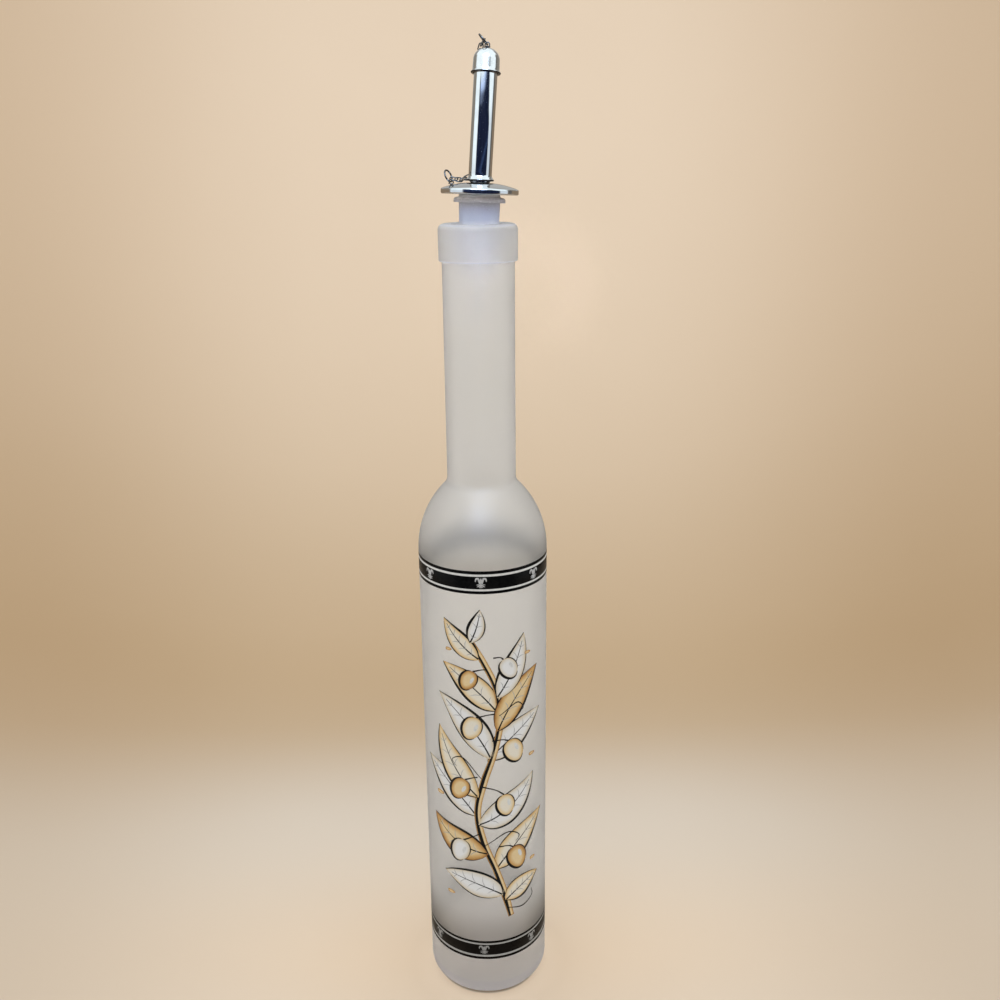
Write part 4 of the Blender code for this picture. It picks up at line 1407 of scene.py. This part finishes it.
# ================================================================ eyes, rings and chain
def eye_piece(name, frame_of, below, mat, body, node):
    top, head = 0.46, -below
    prof = [(0.0, top + 0.03), (EYE_WASHER_R * 0.5, top + 0.01), (EYE_WASHER_R - 0.2, top)]
    prof += arc(EYE_WASHER_R - 0.1, top - 0.1, 0.1, 75, -60, 5)
    prof += [(EYE_WASHER_R - 0.12, 0.27), (EYE_SHANK_R, 0.27), (EYE_SHANK_R, head + 0.4)]
    prof += [(EYE_WASHER_R - 0.16, head + 0.4)]
    prof += arc(EYE_WASHER_R - 0.2, head + 0.3, 0.1, 60, -30, 4)
    prof += [(EYE_WASHER_R - 0.4, head + 0.04), (0.0, head)]
    obj = loose(name, lathe(prof, 32, frame_of), [mat])
    centre = EYE_HEIGHT
    path = [Vector((EYE_ARCH_R, 0, z)) for z in (0.36, centre * 0.6, centre * 0.8)]
    path += [
        Vector(
            (
                EYE_ARCH_R * math.cos(math.pi * i / 20),
                0,
                centre + EYE_ARCH_R * math.sin(math.pi * i / 20),
            )
        )
        for i in range(21)
    ]
    path += [Vector((-EYE_ARCH_R, 0, z)) for z in (centre * 0.8, centre * 0.6, 0.36)]
    bow = bmesh.new()
    turn = frame_of.to_3x3()
    sweep(
        bow,
        [frame_of @ p for p in path],
        [turn @ Vector((0, 1, 0))] * len(path),
        EYE_WIRE_R,
        14,
        False,
    )
    union(obj, [loose(name + "_bow", bow, [mat])])
    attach(obj, body)
    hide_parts(node)


eye_piece(
    "flange_eye_steel", EYE_LOW, -HEAD_Z, WIRE, "spout", "flange_eye"
)
eye_piece("cap_eye_steel", EYE_TOP, CAP_WALL + 0.7, WIRE, "cap", "cap_eye")

HOLE_TOP = EYE_TOP @ Vector((0, 0, EYE_HEIGHT))
HOLE_LOW = EYE_LOW @ Vector((0, 0, EYE_HEIGHT))


def ring_piece(name, hole, up, across, body, node, cut_at):
    """A jump ring of round wire, bent from a cut piece whose ends meet with a hairline gap."""
    bm = bmesh.new()
    side = up.cross(across)
    path, radii = [], []
    steps = 72
    gap = math.radians(1.6)
    for i in range(steps + 1):
        a = cut_at + gap + (2 * math.pi - 2 * gap) * i / steps
        radial = up * math.cos(a) + across * math.sin(a)
        path.append(hole + up * RING_R + radial * RING_R)
        radii.append(RING_WIRE_R)
    radii[0] = radii[-1] = RING_WIRE_R * 0.86
    sweep(bm, path, [side] * len(path), radii, 16, False)
    piece(name, bm, [WIRE], body, [node])


ring_piece("cap_ring_wire", HOLE_TOP, RING_TOP_UP, RING_TOP_ACROSS, "cap_ring", "cap_ring", 2.4)
ring_piece(
    "flange_ring_wire", HOLE_LOW, RING_LOW_UP, RING_LOW_ACROSS, "flange_ring", "flange_ring", 5.2
)


def on_ring(hole, up, across, degrees):
    a = math.radians(degrees)
    point = hole + up * RING_R + (up * math.cos(a) + across * math.sin(a)) * RING_R
    tangent = (-up * math.sin(a) + across * math.cos(a)).normalized()
    return point, tangent


CHAIN_START, WIRE_TOP = on_ring(HOLE_TOP, RING_TOP_UP, RING_TOP_ACROSS, 95.0)
CHAIN_END, WIRE_LOW = on_ring(HOLE_LOW, RING_LOW_UP, RING_LOW_ACROSS, 128.0)


def around_cap(height, radius, azimuth):
    a = math.radians(azimuth)
    return CAP @ Vector((radius * math.cos(a), radius * math.sin(a), height))


def on_flange(x, y, lift):
    return POURER @ Vector((x, y, crown(math.hypot(x, y)) + lift))


def chain_route():
    rim = around_cap(0.3, 6.75, 101.0)
    return [
        CHAIN_START,
        around_cap(9.3, 4.15, 124.0),
        around_cap(6.7, 5.5, 117.0),
        around_cap(3.6, 6.4, 107.0),
        rim,
        rim + Vector((-0.4, 0.1, -6.0)),
        rim + Vector((-1.0, -0.1, -13.0)),
        rim + Vector((-1.6, -0.7, -20.0)),
        rim + Vector((-2.3, -1.7, -26.5)),
        on_flange(-1.7, 7.3, 5.4),
        on_flange(-3.5, 6.4, 2.9),
        on_flange(-5.7, 5.0, 1.75),
        on_flange(-7.6, 3.7, 1.5),
        CHAIN_END,
    ]


def catmull(points, per_span):
    ends = [points[0] * 2 - points[1]] + points + [points[-1] * 2 - points[-2]]
    dense = []
    for i in range(1, len(ends) - 2):
        p0, p1, p2, p3 = ends[i - 1 : i + 3]
        t0 = 0.0
        t1 = t0 + (p1 - p0).length ** 0.5
        t2 = t1 + (p2 - p1).length ** 0.5
        t3 = t2 + (p3 - p2).length ** 0.5
        for k in range(per_span):
            t = t1 + (t2 - t1) * k / per_span
            a1 = p0 * ((t1 - t) / (t1 - t0)) + p1 * ((t - t0) / (t1 - t0))
            a2 = p1 * ((t2 - t) / (t2 - t1)) + p2 * ((t - t1) / (t2 - t1))
            a3 = p2 * ((t3 - t) / (t3 - t2)) + p3 * ((t - t2) / (t3 - t2))
            b1 = a1 * ((t2 - t) / (t2 - t0)) + a2 * ((t - t0) / (t2 - t0))
            b2 = a2 * ((t3 - t) / (t3 - t1)) + a3 * ((t - t1) / (t3 - t1))
            dense.append(b1 * ((t2 - t) / (t2 - t1)) + b2 * ((t - t1) / (t2 - t1)))
    dense.append(points[-1].copy())
    return dense


def link_places():
    dense = catmull(chain_route(), 24)
    lengths = [0.0]
    for a, b in zip(dense, dense[1:]):
        lengths.append(lengths[-1] + (b - a).length)
    total = lengths[-1]

    def at(s):
        s = max(0.0, min(total, s))
        i = 1
        while i < len(lengths) - 1 and lengths[i] < s:
            i += 1
        t = (s - lengths[i - 1]) / (lengths[i] - lengths[i - 1])
        return dense[i - 1].lerp(dense[i], t)

    pitch = (total - 2 * END_REACH) / (LINKS - 1)
    centres = [at(END_REACH + pitch * i) for i in range(LINKS)]
    tangents = []
    for i in range(LINKS):
        s = END_REACH + pitch * i
        tangents.append((at(s + 1.1) - at(s - 1.1)).normalized())
    frames = []
    normal = (WIRE_TOP - tangents[0] * WIRE_TOP.dot(tangents[0])).normalized()
    for i in range(LINKS):
        if i:
            normal = tangents[i - 1].rotation_difference(tangents[i]) @ normal
            normal = (normal - tangents[i] * normal.dot(tangents[i])).normalized()
        frames.append(normal.copy())
    last = LINKS - 1
    goal = (WIRE_LOW - tangents[last] * WIRE_LOW.dot(tangents[last])).normalized()
    quarter = 90.0 * (last % 2)
    reached = Matrix.Rotation(math.radians(quarter), 3, tangents[last]) @ frames[last]
    miss = math.atan2(reached.cross(goal).dot(tangents[last]), reached.dot(goal))
    if miss > math.pi / 2:
        miss -= math.pi
    if miss < -math.pi / 2:
        miss += math.pi
    places = []
    for i in range(LINKS):
        twist = math.radians(90.0 * (i % 2)) + miss * i / last
        places.append((centres[i], tangents[i], Matrix.Rotation(twist, 3, tangents[i]) @ frames[i]))
    return places


def link_piece(index, centre, tangent, normal):
    bm = bmesh.new()
    across = normal.cross(tangent)
    bend = LINK_WIDTH / 2 - LINK_WIRE_R
    half = (LINK_LENGTH - LINK_WIDTH) / 2
    path = []
    for side in (1, -1):
        for i in range(13):
            a = math.pi * i / 12
            path.append(
                centre
                + tangent * (side * (half + bend * math.sin(a)))
                + across * (side * bend * math.cos(a))
            )
        path.append(centre - across * (side * bend))
    sweep(bm, path, [normal] * len(path), LINK_WIRE_R, 12, True)
    body = "cap" if index <= CAP_LINKS else f"link_{index:02d}"
    piece(f"link_{index:02d}_wire", bm, [WIRE], body, [f"chain_link_{index:02d}"])


for number, (centre, tangent, normal) in enumerate(link_places(), 1):
    link_piece(number, centre, tangent, normal)


# ================================================================ stage
def backdrop():
    """A pale sweep: a flat floor that curves up all round into a wall."""
    flat, bend, top = 170.0, 480.0, 900.0
    prof = [(0.0, 0.0), (60.0, 0.0), (120.0, 0.0), (flat, 0.0)]
    prof += arc(flat, bend, bend, -90, 0, 40)[1:]
    prof += [(flat + bend, top)]
    bm = bmesh.new()
    rings = []
    segments = 128
    for r, z in prof:
        if r < 1e-6:
            rings.append([bm.verts.new((0, 0, z))])
        else:
            rings.append(
                [
                    bm.verts.new(
                        (
                            r * math.cos(2 * math.pi * k / segments),
                            r * math.sin(2 * math.pi * k / segments),
                            z,
                        )
                    )
                    for k in range(segments)
                ]
            )
    for r0, r1 in zip(rings, rings[1:]):
        for k in range(segments):
            j = (k + 1) % segments
            if len(r0) == 1:
                bm.faces.new((r0[0], r1[k], r1[j]))
            else:
                bm.faces.new((r0[k], r1[k], r1[j], r0[j]))
    for face in bm.faces:
        face.normal_flip()
    bm.transform(Matrix.Translation((0, 0, -0.15)))
    s = Shade("pale_paper")
    s.set(Roughness=0.9)
    s.bsdf.inputs["Specular IOR Level"].default_value = 0.1
    # painted shade: the paper is painted a deeper tone where it bends up from the floor and towards its sides, and
    # painted paler at the middle of the floor
    place = s.new("ShaderNodeSeparateXYZ")
    s.link(s.coords, place.inputs[0])
    x, y, _ = place.outputs
    across = s.maths("MULTIPLY", x, x)
    along = s.maths("MULTIPLY", y, y)
    depth = s.maths("SQRT", s.maths("ADD", s.maths("MULTIPLY", across, 0.1225), along))
    tone = s.ramp(
        depth,
        [
            (0.00, (0.830, 0.640, 0.450)),
            (0.07, (0.715, 0.630, 0.525)),
            (0.13, (0.680, 0.600, 0.505)),
            (0.20, (0.510, 0.370, 0.225)),
            (0.30, (0.540, 0.395, 0.245)),
            (0.45, (0.655, 0.515, 0.365)),
            (0.65, (0.860, 0.705, 0.545)),
        ],
        "B_SPLINE",
    )
    width = s.maths("ADD", s.maths("MULTIPLY", s.maths("MAXIMUM", y, 0.0), 0.3), 0.21)
    side = s.span(s.maths("DIVIDE", s.maths("ABSOLUTE", x), width), 0.35, 1.10, 0.0, 1.0, True)
    tone = s.mix(side, tone, s.mix(1.0, tone, (0.87, 0.83, 0.78), "MULTIPLY"))
    # painted light and shadow round the bottle's foot: a warm paler halo, then the bottle's narrow painted contact
    # shadow on the table
    reach = s.maths("SQRT", s.maths("ADD", across, along))
    tone = s.mix(s.span(reach, 0.0226, 0.0360, 0.45, 0.0, True), tone, (1.0, 0.83, 0.64))
    tone = s.mix(s.span(reach, 0.0222, 0.0234, 0.78, 0.0, True), tone, (0.14, 0.10, 0.07))
    fibre = s.noise(9.0, 2.0, 0.5)
    tone = s.mix(s.span(fibre, 0.3, 0.7, 0.0, 0.06), tone, (0.62, 0.47, 0.33))
    # painted light: rays through the frosted glass see the paper as one flat paler tone, standing in for its tint
    # mixed with the room's white light
    path = s.new("ShaderNodeLightPath")
    s.to(s.mix(path.outputs["Is Transmission Ray"], tone, (0.725, 0.655, 0.560)), "Base Color")
    bm.transform(Matrix.Scale(MM, 4))
    mesh = bpy.data.meshes.new("backdrop")
    bm.to_mesh(mesh)
    bm.free()
    mesh.materials.append(s.mat)
    mesh.shade_smooth()
    obj = bpy.data.objects.new("backdrop", mesh)
    scene.collection.objects.link(obj)
    # metal and plastic see the room instead, and the paper casts no colour back
    obj.visible_glossy = False
    obj.visible_diffuse = False
    obj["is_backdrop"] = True


backdrop()


def reflected_room():
    """What polished metal mirrors: bright tent sides and top, a dark opening in front, the sweep behind."""
    bm = bmesh.new()
    bmesh.ops.create_uvsphere(bm, u_segments=48, v_segments=24, radius=2.6)
    mesh = bpy.data.meshes.new("reflected_room")
    bm.to_mesh(mesh)
    bm.free()
    mesh.shade_smooth()
    s = Shade("reflected_room")
    coords = s.new("ShaderNodeTexCoord").outputs["Object"]
    parts = s.new("ShaderNodeSeparateXYZ")
    s.link(coords, parts.inputs[0])
    x, y, z = parts.outputs
    ahead = s.maths("MULTIPLY", y, -1.0)
    azimuth = s.maths("ARCTAN2", x, ahead)
    flat = s.maths("SQRT", s.maths("ADD", s.maths("MULTIPLY", x, x), s.maths("MULTIPLY", y, y)))
    height = s.maths("ARCTAN2", z, flat)
    # azimuth runs from the front, positive to the right; its size grows to the back
    turned_back = s.maths("ABSOLUTE", azimuth)

    def between(value, low0, low1, high0, high1):
        return s.maths(
            "MULTIPLY",
            s.span(value, low0, low1, 0.0, 1.0, True),
            s.span(value, high0, high1, 1.0, 0.0, True),
        )

    # behind: a brown floor line, then beige and grey up to the white ceiling
    rear = s.mix(s.span(height, 0.03, 0.12, 0.0, 1.0, True), (0.27, 0.205, 0.14), (0.27, 0.248, 0.208))
    far = s.maths("MULTIPLY", s.span(turned_back, 2.35, 2.7, 0.0, 1.0, True), s.span(height, 0.05, 0.18, 0.0, 1.0, True))
    rear = s.mix(far, rear, (0.46, 0.46, 0.44))
    # beside: white walls, dimmer near the floor, and a dark gap at the right
    walls = s.mix(s.span(height, 0.02, 0.16, 0.0, 1.0, True), (0.74, 0.82, 0.88), (1.06, 1.19, 1.23))
    colour = s.mix(between(azimuth, -1.74, -1.62, 1.54, 1.62), rear, walls)
    behind = s.span(turned_back, 2.0, 2.3, 0.0, 0.26, True)
    over = s.span(s.maths("SUBTRACT", height, behind), 0.45, 0.62, 0.0, 1.0, True)
    gap = s.maths("MULTIPLY", between(azimuth, 1.56, 1.66, 1.84, 1.98), s.maths("SUBTRACT", 1.0, over))
    colour = s.mix(gap, colour, (0.13, 0.125, 0.115))
    colour = s.mix(over, colour, (1.06, 1.19, 1.23))
    under = s.span(height, -0.5, -0.3, 1.0, 0.0, True)
    colour = s.mix(under, colour, (0.40, 0.33, 0.25))
    # in front: a dark opening whose right side slopes, with a pale blue blind at its upper left
    edge = s.maths("MULTIPLY", s.maths("MAXIMUM", s.maths("SUBTRACT", height, 0.09), 0.0), 2.1)
    leaned = s.maths("ADD", azimuth, edge)
    front = s.maths("MULTIPLY", between(azimuth, -0.95, -0.83, 3.0, 3.1), s.span(leaned, 1.02, 1.14, 1.0, 0.0, True))
    front = s.maths("MULTIPLY", front, s.span(height, 0.345, 0.358, 1.0, 0.0, True))
    drift = s.noise(3.0, 4.0, 0.6)
    navy = s.mix(s.span(drift, 0.35, 0.7, 0.0, 1.0), (0.005, 0.008, 0.022), (0.022, 0.030, 0.068))
    near_floor = between(height, 0.044, 0.052, 0.060, 0.080)
    navy = s.mix(near_floor, navy, (0.045, 0.075, 0.17))
    blind = s.maths("MULTIPLY", between(azimuth, -0.80, -0.70, -0.25, 0.45), s.span(height, 0.285, 0.338, 0.0, 1.0, True))
    navy = s.mix(blind, navy, (0.62, 0.80, 1.18))
    colour = s.mix(front, colour, navy)
    notch = s.maths("MULTIPLY", between(azimuth, 0.50, 0.56, 0.64, 0.72), between(height, 0.33, 0.35, 0.40, 0.43))
    colour = s.mix(notch, colour, (0.035, 0.095, 0.13))
    sky = s.maths("MULTIPLY", between(azimuth, -0.62, -0.30, 0.22, 0.52), between(height, 0.44, 0.54, 0.9, 1.1))
    colour = s.mix(sky, colour, (6.2, 8.0, 11.5))
    lamp = s.new("ShaderNodeEmission")
    s.link(colour, lamp.inputs["Color"])
    lamp.inputs["Strength"].default_value = 1.0
    s.link(lamp.outputs[0], s.out.inputs["Surface"])
    s.mat.cycles.emission_sampling = "NONE"
    mesh.materials.append(s.mat)
    obj = bpy.data.objects.new("reflected_room", mesh)
    obj.location = (0.0, 0.0, 0.345)
    scene.collection.objects.link(obj)
    obj.visible_camera = False
    obj.visible_diffuse = False
    obj.visible_transmission = False
    obj.visible_volume_scatter = False
    obj.visible_shadow = False
    obj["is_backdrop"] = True


reflected_room()


def area_light(name, at, to, size, power, colour, height=None, spread=180.0):
    data = bpy.data.lights.new(name, "AREA")
    data.spread = math.radians(spread)
    data.shape = "RECTANGLE"
    data.size = size
    data.size_y = height or size
    data.energy = power
    data.color = colour
    obj = bpy.data.objects.new(name, data)
    obj.location = at
    obj.rotation_euler = (Vector(to) - Vector(at)).to_track_quat("-Z", "Y").to_euler()
    scene.collection.objects.link(obj)
    obj.visible_camera = False
    obj.visible_glossy = False
    return obj


area_light("top_light", (-0.05, -0.10, 1.3), (0, 0, 0.1), 0.7, 4.4, (0.97, 0.98, 1.0))
area_light("front_light", (-0.10, -1.05, 0.78), (0, 0, 0.2), 0.34, 4.5, (0.93, 0.96, 1.0))
area_light("neck_light", (-0.04, -0.52, 0.40), (0, 0, 0.324), 0.05, 0.0042, (0.84, 0.87, 1.0), spread=8.0)
area_light("stopper_light", (0.0, -0.52, 0.37), (0.0005, 0, 0.3125), 0.009, 0.00042, (0.72, 0.80, 1.0), 0.016, 1.0)

world = bpy.data.worlds.new("studio")
scene.world = world
world.use_nodes = True
world.node_tree.nodes["Background"].inputs["Color"].default_value = (1.0, 0.995, 0.985, 1.0)
world.node_tree.nodes["Background"].inputs["Strength"].default_value = 0.80

scene.view_settings.view_transform = "Standard"
scene.view_settings.look = "None"
scene.cycles.use_denoising = True
scene.cycles.max_bounces = 16
scene.cycles.diffuse_bounces = 5
scene.cycles.glossy_bounces = 6
scene.cycles.transmission_bounces = 14
scene.cycles.transparent_max_bounces = 24
scene.cycles.sample_clamp_indirect = 6.0

# ================================================================ sizes and end
bpy.context.view_layer.update()
low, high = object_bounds()
